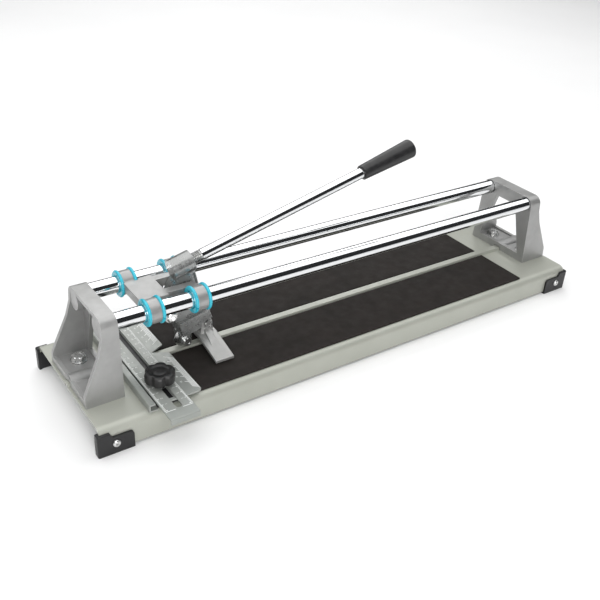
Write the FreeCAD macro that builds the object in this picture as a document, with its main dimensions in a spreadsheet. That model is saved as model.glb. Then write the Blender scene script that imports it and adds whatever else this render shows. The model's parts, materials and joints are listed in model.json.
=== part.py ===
import FreeCAD, Part
import math
import os
import Sketcher

# A bench tile cutter, in millimetres. A folded steel base carries two cast supports
# and two round rails. A cast carriage slides on the rails on split nylon bushes, and
# holds a lever with the scoring wheel and the breaker foot. A gauge plate, a slotted
# ruler and a knob at the left end set the width of the cut.
# +X runs along the rails, away from the gauge. +Y points to the back. +Z is up.
# The origin is on the floor, under the middle of the base.

DRIVING_SIZES = {
    # folded base
    "base_length": 670.0,
    "base_width": 171.0,
    "base_flange": 28.5,
    "base_sheet": 2.0,
    "bend_radius": 9.0,
    "ridge_width": 8.0,
    "ridge_height": 3.5,
    "ridge_clear": 1.4,
    # rubber mats
    "mat_thick": 2.5,
    "mat_inner": 6.7,
    "mat_outer": 78.2,
    "mat_left": 238.0,
    "mat_right": 254.5,
    # corner feet
    "foot_sole": 2.5,
    "foot_wall": 2.8,
    "foot_grip": 2.4,
    "foot_long": 38.5,
    "foot_end": 3.2,
    "foot_reach": 5.5,
    "foot_drop": 4.5,
    "foot_step": 10.5,
    "foot_tall": 13.0,
    "foot_screw_radius": 2.0,
    "foot_screw_head": 4.2,
    # cast supports
    "support_inner": 291.0,
    "support_depth": 41.4,
    "support_top_depth": 17.2,
    "support_waist": 18.2,
    "support_knee": 23.0,
    "flare_round": 10.0,
    "support_lip": 2.0,
    "support_high": 92.5,
    "support_foot_half": 48.0,
    "support_top_half": 42.5,
    "support_web": 5.0,
    "support_band": 4.5,
    "support_floor": 6.0,
    "support_round": 10.5,
    "window_top": 75.0,
    "window_top_half": 16.5,
    "window_foot_half": 36.0,
    "arch_clear": 1.4,
    "bolt_inset": 18.5,
    "bolt_spread": 28.0,
    "bolt_radius": 4.0,
    "bolt_hex": 13.0,
    "bolt_head": 5.3,
    "washer_radius": 8.5,
    "washer_thick": 1.6,
    "nut_thick": 6.5,
    # rails
    "rail_radius": 9.0,
    "rail_wall": 2.5,
    "rail_half_gap": 32.6,
    "rail_high": 82.2,
    "rail_seat": 13.0,
    "rail_rim": 0.7,
    "rail_boss": 11.6,
    "boss_half_gap": 30.2,
    "boss_high": 79.2,
    # fence at the left end
    "guide_outer": 281.0,
    "guide_lip": 6.8,
    "guide_web": 9.5,
    "guide_high": 8.8,
    "guide_sheet": 1.5,
    "fence_half": 84.0,
    "rivet_radius": 2.4,
    "gauge_left": 270.5,
    "gauge_right": 222.0,
    "gauge_sheet": 1.8,
    "gauge_lift": 5.2,
    "gauge_round": 4.0,
    "gauge_slot_near": 80.5,
    "gauge_slot_far": 72.0,
    "notch_deep": 16.0,
    "notch_half": 8.4,
    "spacer_half": 80.5,
    "spacer_gap": 0.6,
    "fence_screw_radius": 2.0,
    "fence_screw_head": 3.6,
    "fence_screw_x": 11.0,
    "fence_screw_y": 70.0,
    "ruler_left": 272.5,
    "ruler_width": 32.0,
    "ruler_sheet": 1.8,
    "ruler_near": 115.0,
    "ruler_far": 84.0,
    "ruler_lip": 6.6,
    "slot_centre": 255.3,
    "slot_width": 7.0,
    "slot_near": 100.0,
    "slot_far": 76.0,
    "slide_gap": 0.1,
    # clamp
    "stud_y": 55.3,
    "stud_radius": 3.0,
    "stud_head": 6.2,
    "stud_head_thick": 3.0,
    "clamp_washer_radius": 8.0,
    "clamp_washer_thick": 1.4,
    "knob_radius": 16.3,
    "knob_lobe": 6.2,
    "knob_disc": 13.5,
    "knob_neck": 8.0,
    "knob_neck_high": 2.4,
    "knob_high": 12.0,
    # carriage
    "carriage_x": 224.35,
    "ring_spacing": 52.3,
    "ring_long": 11.5,
    "ring_radius": 13.0,
    "bush_outer": 11.0,
    "bush_clear": 0.08,
    "bush_flange": 14.75,
    "bush_flange_thick": 3.6,
    "bush_slit": 1.6,
    "slit_turn": 78.0,
    "bush_gap": 0.3,
    "plate_high": 7.3,
    "plate_half": 22.4,
    "plate_left": 33.2,
    "plate_right": 1.8,
    "beam_inner": 10.0,
    "beam_outer": 19.0,
    "beam_thick": 10.0,
    "lug_thick": 4.0,
    "lug_radius": 8.0,
    # lever
    "pivot_x": 1.35,
    "pivot_high": 59.5,
    "pivot_radius": 4.0,
    "pivot_clear": 0.06,
    "pivot_head": 6.6,
    "pivot_head_thick": 3.6,
    "lever_tilt": 14.2,
    "lever_half": 8.5,
    "lever_eye": 8.0,
    "lug_gap": 0.4,
    "hub_rise": 39.2,
    "hub_start": 20.0,
    "hub_long": 24.8,
    "hub_radius": 11.6,
    "shoe_half": 14.0,
    "shoe_left": 6.8,
    "shoe_right": 44.0,
    "shoe_top": 20.0,
    "shoe_foot": 38.0,
    "fork_slot": 2.2,
    "fork_deep": 4.0,
    "grip_slot": 2.4,
    # scoring wheel
    "wheel_radius": 11.0,
    "wheel_thick": 5.0,
    "wheel_bore": 3.0,
    "wheel_clear": 0.3,
    "wheel_x": 23.85,
    "axle_clear": 0.05,
    "ear_inner": 2.9,
    "ear_outer": 8.0,
    "ear_radius": 6.3,
    "small_hex": 9.0,
    "small_head": 4.0,
    # breaker foot
    "breaker_x": 48.85,
    "breaker_high": 30.5,
    "breaker_bolt": 3.0,
    "breaker_eye": 6.5,
    "breaker_lug": 4.0,
    "breaker_side": 0.35,
    "breaker_cheek": 4.7,
    "breaker_span": 49.5,
    "breaker_half": 11.25,
    "breaker_plate": 3.5,
    "breaker_root": 12.5,
    "breaker_tip": 26.5,
    "rib_reach": 34.0,
    "rib_top": 7.0,
    "rib_half": 4.0,
    # handle
    "rod_radius": 6.3,
    "rod_root": 5.4,
    "rod_seat": 22.0,
    "thread_long": 8.0,
    "rod_long": 320.1,
    "grip_long": 74.2,
    "grip_small": 8.7,
    "grip_large": 11.5,
    "grip_cap": 3.0,
}


class Size:
    """A number together with the expression that gives it."""

    def __init__(self, value, text):
        self.value = value
        self.text = text

    def __add__(self, other):
        other = as_size(other)
        return Size(self.value + other.value, f"({self.text} + {other.text})")

    def __sub__(self, other):
        other = as_size(other)
        return Size(self.value - other.value, f"({self.text} - {other.text})")

    def __mul__(self, other):
        other = as_size(other)
        return Size(self.value * other.value, f"({self.text} * {other.text})")

    def __truediv__(self, other):
        other = as_size(other)
        return Size(self.value / other.value, f"({self.text} / {other.text})")

    def __neg__(self):
        return Size(-self.value, f"(0 - {self.text})")

    def __radd__(self, other):
        return as_size(other) + self

    def __rsub__(self, other):
        return as_size(other) - self

    def __rmul__(self, other):
        return as_size(other) * self


class Names:
    """Holds each size of the sheet under its alias."""


def as_size(number):
    if isinstance(number, Size):
        return number
    return Size(float(number), f"{float(number):.6f}")


def cosine(angle):
    return Size(math.cos(math.radians(angle.value)), f"cos({angle.text} * 1 deg)")


def sine(angle):
    return Size(math.sin(math.radians(angle.value)), f"sin({angle.text} * 1 deg)")


doc = FreeCAD.newDocument("TileCutter")
sheet = doc.addObject("Spreadsheet::Sheet", "Sizes")
d = Names()
for row, (alias, number) in enumerate(DRIVING_SIZES.items(), start=1):
    sheet.set(f"A{row}", alias)
    sheet.set(f"B{row}", str(number))
    sheet.setAlias(f"B{row}", alias)
    setattr(d, alias, Size(number, f"Sizes.{alias}"))
doc.recompute()

ZERO = as_size(0.0)
TURN = {
    "X": FreeCAD.Rotation(FreeCAD.Vector(0, 1, 0), 90),
    "Y": FreeCAD.Rotation(FreeCAD.Vector(1, 0, 0), -90),
    "Z": FreeCAD.Rotation(),
}
UPRIGHT = FreeCAD.Rotation()
nodes = []


# ---- small builders ---------------------------------------------------------------


def bind(thing, name, size):
    """Sets a property now and ties it to the sheet."""
    size = as_size(size)
    if not name.startswith(("Placement", "AttachmentOffset")):
        setattr(thing, name, size.value)
    thing.setExpression(name, size.text)


def place(thing, x=ZERO, y=ZERO, z=ZERO, rotation=UPRIGHT):
    """Puts an object at a point that the sheet gives."""
    x, y, z = as_size(x), as_size(y), as_size(z)
    point = FreeCAD.Vector(x.value, y.value, z.value)
    thing.Placement = FreeCAD.Placement(point, rotation)
    for axis, size in (("x", x), ("y", y), ("z", z)):
        thing.setExpression(f"Placement.Base.{axis}", size.text)
    return thing


def node(thing, label):
    """Names an object as a sub-part that is written to its own file."""
    thing.Label = label
    nodes.append(thing)
    return thing


def box(x, y, z, name="Block"):
    """A block between two limits on each axis."""
    block = doc.addObject("Part::Box", name)
    for prop, (low, high) in (("Length", x), ("Width", y), ("Height", z)):
        bind(block, prop, as_size(high) - low)
    return place(block, x[0], y[0], z[0])


def rod(axis, radius, length, x=ZERO, y=ZERO, z=ZERO, name="Round"):
    """A cylinder that starts at a point and runs along +X, +Y or +Z."""
    bar = doc.addObject("Part::Cylinder", name)
    bind(bar, "Radius", radius)
    bind(bar, "Height", length)
    return place(bar, x, y, z, TURN[axis])


def cone(axis, start, end, length, x=ZERO, y=ZERO, z=ZERO):
    """A tapered round that starts at a point and runs along +X, +Y or +Z."""
    taper = doc.addObject("Part::Cone", "Taper")
    bind(taper, "Radius1", start)
    bind(taper, "Radius2", end)
    bind(taper, "Height", length)
    return place(taper, x, y, z, TURN[axis])


def hexagon(axis, across, length, x=ZERO, y=ZERO, z=ZERO):
    """A hexagonal prism, sized across its flats."""
    prism = doc.addObject("Part::Prism", "Hexagon")
    prism.Polygon = 6
    bind(prism, "Circumradius", as_size(across) / math.sqrt(3))
    bind(prism, "Height", length)
    return place(prism, x, y, z, TURN[axis])


def fuse(*pieces):
    joined = doc.addObject("Part::MultiFuse", "Joined")
    joined.Shapes = list(pieces)
    joined.Refine = True
    return joined


def cut(base, *tools):
    """Takes one or more tools away from a base."""
    result = doc.addObject("Part::Cut", "Cut")
    result.Base = base
    result.Tool = tools[0] if len(tools) == 1 else fuse(*tools)
    result.Refine = True
    return result


def group(*pieces):
    """Several separate solids as one sub-part."""
    bundle = doc.addObject("Part::Compound", "Group")
    bundle.Links = list(pieces)
    return bundle


def origin_part(body, role):
    """One of the planes or axes of the body's own origin."""
    for feature in body.Origin.OriginFeatures:
        if feature.Role == role:
            return feature
    raise RuntimeError(f"no {role} in the origin of {body.Label}")


def sketch_on(body, plane, offset=ZERO):
    """A sketch on one of the body's own origin planes, moved along its normal."""
    sketch = body.newObject("Sketcher::SketchObject", "Sketch")
    sketch.AttachmentSupport = [(origin_part(body, plane), "")]
    sketch.MapMode = "FlatFace"
    offset = as_size(offset)
    sketch.AttachmentOffset.Base.z = offset.value
    sketch.setExpression("AttachmentOffset.Base.z", offset.text)
    return sketch


def pin_point(sketch, geometry, position, x, y):
    """Holds a sketch point at a place that the sheet gives."""
    for kind, size in (("DistanceX", as_size(x)), ("DistanceY", as_size(y))):
        rule = Sketcher.Constraint(kind, -1, 1, geometry, position, size.value)
        index = sketch.addConstraint(rule)
        sketch.setExpression(f"Constraints[{index}]", size.text)


def draw_outline(sketch, corners):
    """A closed outline of straight lines through the corners."""
    corners = [(as_size(x), as_size(y)) for x, y in corners]
    first = sketch.GeometryCount
    for start, end in zip(corners, corners[1:] + corners[:1]):
        line = Part.LineSegment(
            FreeCAD.Vector(start[0].value, start[1].value, 0),
            FreeCAD.Vector(end[0].value, end[1].value, 0),
        )
        sketch.addGeometry(line, False)
    count = len(corners)
    for step in range(count):
        here = first + step
        following = first + (step + 1) % count
        sketch.addConstraint(Sketcher.Constraint("Coincident", here, 2, following, 1))
    for step, (x, y) in enumerate(corners):
        pin_point(sketch, first + step, 1, x, y)


def draw_circle(sketch, x, y, radius):
    x, y, radius = as_size(x), as_size(y), as_size(radius)
    centre = FreeCAD.Vector(x.value, y.value, 0)
    normal = FreeCAD.Vector(0, 0, 1)
    ring = sketch.addGeometry(Part.Circle(centre, normal, radius.value), False)
    pin_point(sketch, ring, 3, x, y)
    index = sketch.addConstraint(Sketcher.Constraint("Radius", ring, radius.value))
    sketch.setExpression(f"Constraints[{index}]", radius.text)


def new_body(name):
    return doc.addObject("PartDesign::Body", name)


def pad(body, sketch, length, midplane=False, reverse=False):
    feature = body.newObject("PartDesign::Pad", "Pad")
    feature.Profile = sketch
    bind(feature, "Length", length)
    feature.Midplane = midplane
    feature.Reversed = reverse
    doc.recompute()
    return feature


def pocket(body, sketch, length, midplane=False, reverse=False):
    """Cuts a sketch away and makes sure that it took something."""
    before = body.Shape.Volume
    feature = body.newObject("PartDesign::Pocket", "Pocket")
    feature.Profile = sketch
    feature.Type = 0
    bind(feature, "Length", length)
    feature.Midplane = midplane
    feature.Reversed = reverse
    doc.recompute()
    if body.Shape.Volume > before - 0.01:
        raise RuntimeError(f"a pocket of {body.Label} cuts nothing")
    return feature


def edges_near(shape, points):
    """Names of the straight or round edges that pass through the points."""
    found = []
    for point in points:
        probe = Part.Vertex(FreeCAD.Vector(*[as_size(c).value for c in point]))
        for index, edge in enumerate(shape.Edges, start=1):
            if probe.distToShape(edge)[0] < 0.01 and f"Edge{index}" not in found:
                found.append(f"Edge{index}")
    return found


def round_edges(body, radius, points, kind="Fillet"):
    """Rounds or bevels the edges of a body that pass through the points."""
    base = body.Tip
    names = edges_near(base.Shape, points)
    if not names:
        raise RuntimeError(f"no edge to round on {body.Label}")
    feature = body.newObject(f"PartDesign::{kind}", kind)
    feature.Base = (base, names)
    bind(feature, "Radius" if kind == "Fillet" else "Size", radius)
    doc.recompute()
    if "Invalid" in feature.State:
        raise RuntimeError(f"an edge of {body.Label} cannot be rounded")
    return feature


# ---- heights and places that several pieces share ----------------------------------

deck = d.foot_sole + d.base_flange
base_end = d.base_length / 2
base_side = d.base_width / 2
under_deck = deck - d.base_sheet
rail_z = deck + d.rail_high
gauge_bottom = deck + d.gauge_lift
gauge_top = gauge_bottom + d.gauge_sheet
ruler_bottom = gauge_top + d.slide_gap
ruler_top = ruler_bottom + d.ruler_sheet
carriage_x = -d.carriage_x
pivot_x = carriage_x + d.pivot_x
pivot_z = deck + d.pivot_high
wheel_x = carriage_x + d.wheel_x
wheel_z = deck + d.ridge_height + d.wheel_clear + d.wheel_radius
breaker_x = carriage_x + d.breaker_x
breaker_z = deck + d.breaker_high
bolt_x = d.support_inner + d.bolt_inset
SIDES = (("near", -1), ("far", 1))
ENDS = (("left", -1), ("right", 1))


# ---- base, mats and feet -----------------------------------------------------------


def make_base():
    """Folded sheet: flat deck, a hollow ridge along the middle, two flanges."""
    body = new_body("BaseSheet")
    sheet_t = d.base_sheet
    ridge = d.ridge_width / 2
    foot = ridge + 1.0
    ridge_top = deck + d.ridge_height
    half = [
        (base_side, d.foot_sole),
        (base_side, deck),
        (foot, deck),
        (ridge, ridge_top),
    ]
    inner = [
        (ridge - sheet_t * 0.9, ridge_top - sheet_t),
        (foot - sheet_t * 0.9, under_deck),
        (base_side - sheet_t, under_deck),
        (base_side - sheet_t, d.foot_sole),
    ]
    right = half + []
    left = [(-y, z) for y, z in reversed(half)]
    under_left = [(-y, z) for y, z in reversed(inner)]
    profile = sketch_on(body, "YZ_Plane")
    draw_outline(profile, right + left + under_left + inner)
    pad(body, profile, d.base_length, midplane=True)
    outer = [(ZERO, side * base_side, deck) for side in (-1, 1)]
    round_edges(body, d.bend_radius, outer)
    inside = [(ZERO, side * (base_side - sheet_t), under_deck) for side in (-1, 1)]
    round_edges(body, d.bend_radius - sheet_t, inside)
    holes = sketch_on(body, "XY_Plane", deck)
    for _, end in ENDS:
        for _, side in SIDES:
            draw_circle(holes, end * bolt_x, side * d.bolt_spread, d.bolt_radius)
    for x in screw_lines():
        for _, side in SIDES:
            draw_circle(holes, x, side * d.fence_screw_y, d.fence_screw_radius)
    for _, side in SIDES:
        draw_circle(holes, rivet_x(), side * rivet_y(), d.rivet_radius)
    pocket(body, holes, sheet_t * 1.5)
    screws = sketch_on(body, "XZ_Plane")
    for _, end in ENDS:
        draw_circle(screws, end * foot_screw_x(), foot_screw_z(), d.foot_screw_radius)
    pocket(body, screws, d.base_width, midplane=True)
    node(body, "base_plate")


def make_mats():
    """Two rubber mats, one each side of the ridge."""
    for name, side in SIDES:
        low, high = (d.mat_inner, d.mat_outer) if side > 0 else (-d.mat_outer, -d.mat_inner)
        mat = box((-d.mat_left, d.mat_right), (low, high), (deck, deck + d.mat_thick))
        node(mat, f"{name}_mat")


def foot_screw_x():
    return base_end + d.foot_end - d.foot_long / 2


def foot_screw_z():
    return d.foot_sole + (d.base_flange - d.foot_step) / 2 + 1.0


def make_feet():
    """Four moulded corner feet that grip the flange and turn round its end."""
    outer = base_side + d.foot_wall
    grip = base_side - d.base_sheet - d.foot_grip
    end = base_end + d.foot_end
    start = end - d.foot_long
    top = deck - d.foot_drop
    for end_name, toward in ENDS:
        for side_name, side in SIDES:
            body = new_body("CornerFoot")
            face = sketch_on(body, "XZ_Plane", base_side)
            corners = [
                (start, ZERO),
                (end, ZERO),
                (end, top),
                (end - d.foot_tall, top),
                (end - d.foot_tall - 3.0, deck - d.foot_step),
                (start, deck - d.foot_step),
            ]
            draw_outline(face, corners)
            pad(body, face, d.foot_wall)
            sole = sketch_on(body, "XY_Plane")
            draw_outline(
                sole,
                [(start, -base_side), (end, -base_side), (end, -grip), (start, -grip)],
            )
            pad(body, sole, d.foot_sole)
            clip = sketch_on(body, "XZ_Plane", grip)
            low = d.foot_sole
            high = deck - d.foot_step
            draw_outline(clip, [(start, low), (base_end, low), (base_end, high), (start, high)])
            pad(body, clip, d.foot_grip)
            cheek = sketch_on(body, "YZ_Plane", base_end)
            reach = base_side - d.foot_reach
            draw_outline(
                cheek,
                [
                    (-base_side, ZERO),
                    (-reach, ZERO),
                    (-reach, high),
                    (-grip, top),
                    (-base_side, top),
                ],
            )
            pad(body, cheek, d.foot_end)
            round_edges(body, 2.0, [(end, -outer, foot_screw_z())])
            round_edges(body, 4.0, [(start, -outer + 1.0, deck - d.foot_step)])
            round_edges(body, 1.5, [(end - d.foot_tall / 2, -outer, top)])
            hole = sketch_on(body, "XZ_Plane")
            draw_circle(hole, foot_screw_x(), foot_screw_z(), d.foot_screw_radius)
            pocket(body, hole, d.base_width, reverse=True)
            placed = body
            if toward < 0 or side > 0:
                placed = mirrored(body, toward, side)
            node(placed, f"{end_name}_{side_name}_foot")


def mirrored(source, toward, side):
    """The same moulding for another corner, turned or mirrored about the middle."""
    result = source
    if toward < 0:
        result = mirror_once(result, FreeCAD.Vector(1, 0, 0))
    if side > 0:
        result = mirror_once(result, FreeCAD.Vector(0, 1, 0))
    return result


def mirror_once(source, normal):
    mirror = doc.addObject("Part::Mirroring", "Mirror")
    mirror.Source = source
    mirror.Base = FreeCAD.Vector(0, 0, 0)
    mirror.Normal = normal
    return mirror


def make_foot_screws():
    """Four pan head screws that pass through the feet and the flanges."""
    screws = []
    shank = d.foot_wall + d.base_sheet + d.foot_grip
    for _, toward in ENDS:
        x = toward * foot_screw_x()
        z = foot_screw_z()
        face = base_side + d.foot_wall
        near = fuse(
            rod("Y", d.foot_screw_radius, shank, x, -face, z),
            cone("Y", d.foot_screw_head * 0.6, d.foot_screw_head, 2.4, x, -face - 2.4, z),
        )
        far = fuse(
            rod("Y", d.foot_screw_radius, shank, x, face - shank, z),
            cone("Y", d.foot_screw_head, d.foot_screw_head * 0.6, 2.4, x, face, z),
        )
        screws += [near, far]
    node(group(*screws), "foot_screws")


# ---- supports and rails ------------------------------------------------------------


def make_support(name, turn):
    """Cast support: web towards the carriage, flared band, floor and rail bosses."""
    body = new_body("Support")
    face = sketch_on(body, "YZ_Plane")
    foot = d.support_foot_half
    shoulder = d.support_top_half
    high = d.support_high
    draw_outline(face, [(-foot, ZERO), (foot, ZERO), (shoulder, high), (-shoulder, high)])
    pad(body, face, d.support_depth)

    flare = sketch_on(body, "XZ_Plane")
    flare_top = high * 0.78
    flare_knee = high * 0.59
    flare_foot = high * 0.14
    draw_outline(
        flare,
        [
            (d.support_depth + 1.0, flare_foot * 0.6),
            (d.support_depth, flare_foot),
            (d.support_knee, flare_knee),
            (d.support_waist, flare_top),
            (d.support_top_depth, high + 1.0),
            (d.support_depth + 1.0, high + 1.0),
        ],
    )
    pocket(body, flare, foot * 3, midplane=True)
    round_edges(body, d.flare_round, [(d.support_depth, ZERO, flare_foot)])
    round_edges(body, d.flare_round * 2, [(d.support_knee, ZERO, flare_knee)])
    corners = [(d.support_top_depth / 2, side * shoulder, high) for side in (-1, 1)]
    round_edges(body, d.support_round, corners)

    hollow = sketch_on(body, "YZ_Plane", d.support_web)
    slope = (foot - shoulder) / high
    band = d.support_band
    inner_foot = foot - band - slope * d.support_floor
    inner_top = shoulder - band + slope * band
    top = high - band
    draw_outline(
        hollow,
        [
            (-inner_foot, d.support_floor),
            (inner_foot, d.support_floor),
            (inner_top, top),
            (-inner_top, top),
        ],
    )
    pocket(body, hollow, d.support_depth, reverse=True)

    window = sketch_on(body, "YZ_Plane")
    low = d.window_foot_half
    up = d.window_top_half
    draw_outline(
        window,
        [
            (-low, d.support_floor + 4.0),
            (low, d.support_floor + 4.0),
            (up, d.window_top),
            (-up, d.window_top),
        ],
    )
    pocket(body, window, d.support_web, reverse=True)

    bosses = sketch_on(body, "YZ_Plane", d.support_web)
    for side in (-1, 1):
        draw_circle(bosses, side * d.boss_half_gap, d.boss_high, d.rail_boss)
    boss_long = d.support_top_depth - d.support_web
    pad(body, bosses, boss_long)

    lip = sketch_on(body, "XY_Plane")
    lip_edge = d.support_depth - d.support_band
    draw_outline(
        lip,
        [
            (lip_edge, -inner_foot),
            (d.support_depth, -inner_foot),
            (d.support_depth, inner_foot),
            (lip_edge, inner_foot),
        ],
    )
    pad(body, lip, d.support_floor + d.support_lip)

    arch = d.ridge_width / 2 + 1.0 + d.arch_clear
    hump = sketch_on(body, "YZ_Plane")
    draw_circle(hump, ZERO, ZERO, arch + 4.0)
    pad(body, hump, d.support_depth - 1.5)
    below = sketch_on(body, "YZ_Plane")
    draw_outline(
        below,
        [(-foot, ZERO), (-foot, -arch * 2), (foot, -arch * 2), (foot, ZERO)],
    )
    pocket(body, below, d.support_depth, reverse=True)
    tunnel = sketch_on(body, "YZ_Plane")
    draw_outline(
        tunnel,
        [
            (-arch, ZERO),
            (arch, ZERO),
            (arch - 1.5, d.ridge_height + d.arch_clear),
            (1.5 - arch, d.ridge_height + d.arch_clear),
        ],
    )
    pocket(body, tunnel, d.support_depth, reverse=True)

    seats = sketch_on(body, "YZ_Plane")
    for side in (-1, 1):
        draw_circle(seats, side * d.rail_half_gap, d.rail_high, d.rail_radius)
    pocket(body, seats, d.rail_seat, reverse=True)
    rims = sketch_on(body, "YZ_Plane")
    for side in (-1, 1):
        draw_circle(rims, side * d.rail_half_gap, d.rail_high, d.rail_radius + d.rail_rim)
    pocket(body, rims, 1.6, reverse=True)

    holes = sketch_on(body, "XY_Plane", d.support_floor)
    for side in (-1, 1):
        draw_circle(holes, d.bolt_inset, side * d.bolt_spread, d.bolt_radius)
    pocket(body, holes, d.support_floor)
    seats_up = sketch_on(body, "XY_Plane", d.support_floor)
    for side in (-1, 1):
        draw_circle(seats_up, d.bolt_inset, side * d.bolt_spread, d.washer_radius + 1.2)
    pocket(body, seats_up, 1.0)

    place(body, turn * d.support_inner, ZERO, deck, facing(turn))
    node(body, name)


def facing(turn):
    """The left support is the right one turned half round."""
    return FreeCAD.Rotation(FreeCAD.Vector(0, 0, 1), 0 if turn > 0 else 180)


def make_support_fasteners():
    """Hexagon bolts, washers and nuts that hold the supports to the deck."""
    washer_z = deck + d.support_floor - 1.0
    head_z = washer_z + d.washer_thick
    shank_foot = under_deck - d.nut_thick - 2.0
    bolts, washers, nuts = [], [], []
    for _, end in ENDS:
        for _, side in SIDES:
            x = end * bolt_x
            y = side * d.bolt_spread
            bolts.append(
                fuse(
                    hexagon("Z", d.bolt_hex, d.bolt_head, x, y, head_z),
                    rod("Z", d.bolt_radius, head_z - shank_foot, x, y, shank_foot),
                )
            )
            washers.append(
                cut(
                    rod("Z", d.washer_radius, d.washer_thick, x, y, washer_z),
                    rod("Z", d.bolt_radius, d.washer_thick, x, y, washer_z),
                )
            )
            nuts.append(
                cut(
                    hexagon("Z", d.bolt_hex, d.nut_thick, x, y, under_deck - d.nut_thick),
                    rod("Z", d.bolt_radius, d.nut_thick, x, y, under_deck - d.nut_thick),
                )
            )
    node(group(*bolts), "support_bolts")
    node(group(*washers), "support_washers")
    node(group(*nuts), "support_nuts")


def make_rails():
    """Two chromed steel tubes between the supports."""
    start = -d.support_inner - d.rail_seat
    length = (d.support_inner + d.rail_seat) * 2
    bore = d.rail_radius - d.rail_wall
    for name, side in SIDES:
        y = side * d.rail_half_gap
        tube = cut(
            rod("X", d.rail_radius, length, start, y, rail_z),
            rod("X", bore, length, start, y, rail_z),
        )
        node(tube, f"{name}_rail")


# ---- fence, ruler and clamp --------------------------------------------------------


def screw_lines():
    """Two lines of fence screws, either side of the slot."""
    return -d.slot_centre - d.fence_screw_x, -d.slot_centre + d.fence_screw_x


def slot_outline(width, near, far):
    """Four corners of a slot along Y."""
    left = -d.slot_centre - width / 2
    right = -d.slot_centre + width / 2
    return [(left, near), (right, near), (right, far), (left, far)]


def rivet_x():
    return -d.guide_outer + d.guide_sheet + d.rivet_radius + 1.2


def rivet_y():
    return d.fence_half * 0.72


def make_guide():
    """C-shaped steel strip that the ruler runs beside, and its two rivets."""
    body = new_body("GuideChannel")
    profile = sketch_on(body, "XZ_Plane")
    left = -d.guide_outer
    wall = d.guide_sheet
    top = deck + d.guide_high
    draw_outline(
        profile,
        [
            (left, deck),
            (left + d.guide_web, deck),
            (left + d.guide_web, deck + wall),
            (left + wall, deck + wall),
            (left + wall, top - wall),
            (left + d.guide_lip, top - wall),
            (left + d.guide_lip, top),
            (left, top),
        ],
    )
    pad(body, profile, d.fence_half * 2, midplane=True)
    round_edges(body, 1.2, [(left, ZERO, top)])
    holes = sketch_on(body, "XY_Plane", deck + wall)
    for _, side in SIDES:
        draw_circle(holes, rivet_x(), side * rivet_y(), d.rivet_radius)
    pocket(body, holes, wall)
    notch = d.ridge_width / 2 + d.ridge_clear
    over_ridge = box(
        (left, left + d.guide_web), (-notch, notch), (deck, deck + d.ridge_height + d.ridge_clear)
    )
    node(cut(body, over_ridge), "guide_channel")
    rivets = []
    stack = wall + d.base_sheet
    for _, side in SIDES:
        x = rivet_x()
        y = side * rivet_y()
        rivets.append(
            fuse(
                rod("Z", d.rivet_radius, stack, x, y, under_deck),
                cone("Z", d.rivet_radius * 1.5, d.rivet_radius, 1.3, x, y, deck + wall),
                cone("Z", d.rivet_radius, d.rivet_radius * 1.5, 1.3, x, y, under_deck - 1.3),
            )
        )
    node(group(*rivets), "guide_rivets")


def make_spacers():
    """Black block that holds the gauge plate above the deck and bridges the ridge."""
    right = -2 * d.slot_centre + d.gauge_left
    block = box((-d.gauge_left, right), (-d.spacer_half, d.spacer_half), (deck, gauge_bottom))
    notch = d.ridge_width / 2 + 1.0 + d.spacer_gap
    over_ridge = box(
        (-d.gauge_left, right), (-notch, notch), (deck, deck + d.ridge_height + d.spacer_gap)
    )
    head_z = gauge_bottom - d.stud_head_thick
    holes = [rod("Z", d.stud_head, d.stud_head_thick, -d.slot_centre, -d.stud_y, head_z)]
    for x in screw_lines():
        for _, side in SIDES:
            y = side * d.fence_screw_y
            holes.append(rod("Z", d.fence_screw_radius, d.gauge_lift, x, y, deck))
    node(cut(block, over_ridge, *holes), "fence_spacer")


def make_gauge():
    """Flat gauge plate with rounded corners and a notch for the scoring wheel."""
    body = new_body("GaugePlate")
    left = -d.gauge_left
    right = -d.gauge_right
    edge = d.fence_half
    vertex = right - d.notch_deep
    outline = sketch_on(body, "XY_Plane", gauge_bottom)
    draw_outline(
        outline,
        [
            (left, -edge),
            (right, -edge),
            (right, -d.notch_half),
            (vertex, -0.8),
            (vertex, 0.8),
            (right, d.notch_half),
            (right, edge),
            (left, edge),
        ],
    )
    pad(body, outline, d.gauge_sheet)
    middle = gauge_bottom + d.gauge_sheet / 2
    ends = [(right, side * edge, middle) for side in (-1, 1)]
    round_edges(body, d.gauge_round, ends)
    mouth = [(right, side * d.notch_half, middle) for side in (-1, 1)]
    round_edges(body, d.gauge_round / 2, mouth)
    holes = sketch_on(body, "XY_Plane", gauge_top)
    draw_outline(holes, slot_outline(d.stud_radius * 2, -d.gauge_slot_near, d.gauge_slot_far))
    for x in screw_lines():
        for _, side in SIDES:
            draw_circle(holes, x, side * d.fence_screw_y, d.fence_screw_radius)
    pocket(body, holes, d.gauge_sheet)
    countersinks = [
        cone("Z", d.fence_screw_radius, d.fence_screw_head, d.gauge_sheet,
             x, side * d.fence_screw_y, gauge_bottom)
        for x in screw_lines()
        for _, side in SIDES
    ]
    node(cut(body, *countersinks), "gauge_plate")


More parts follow.
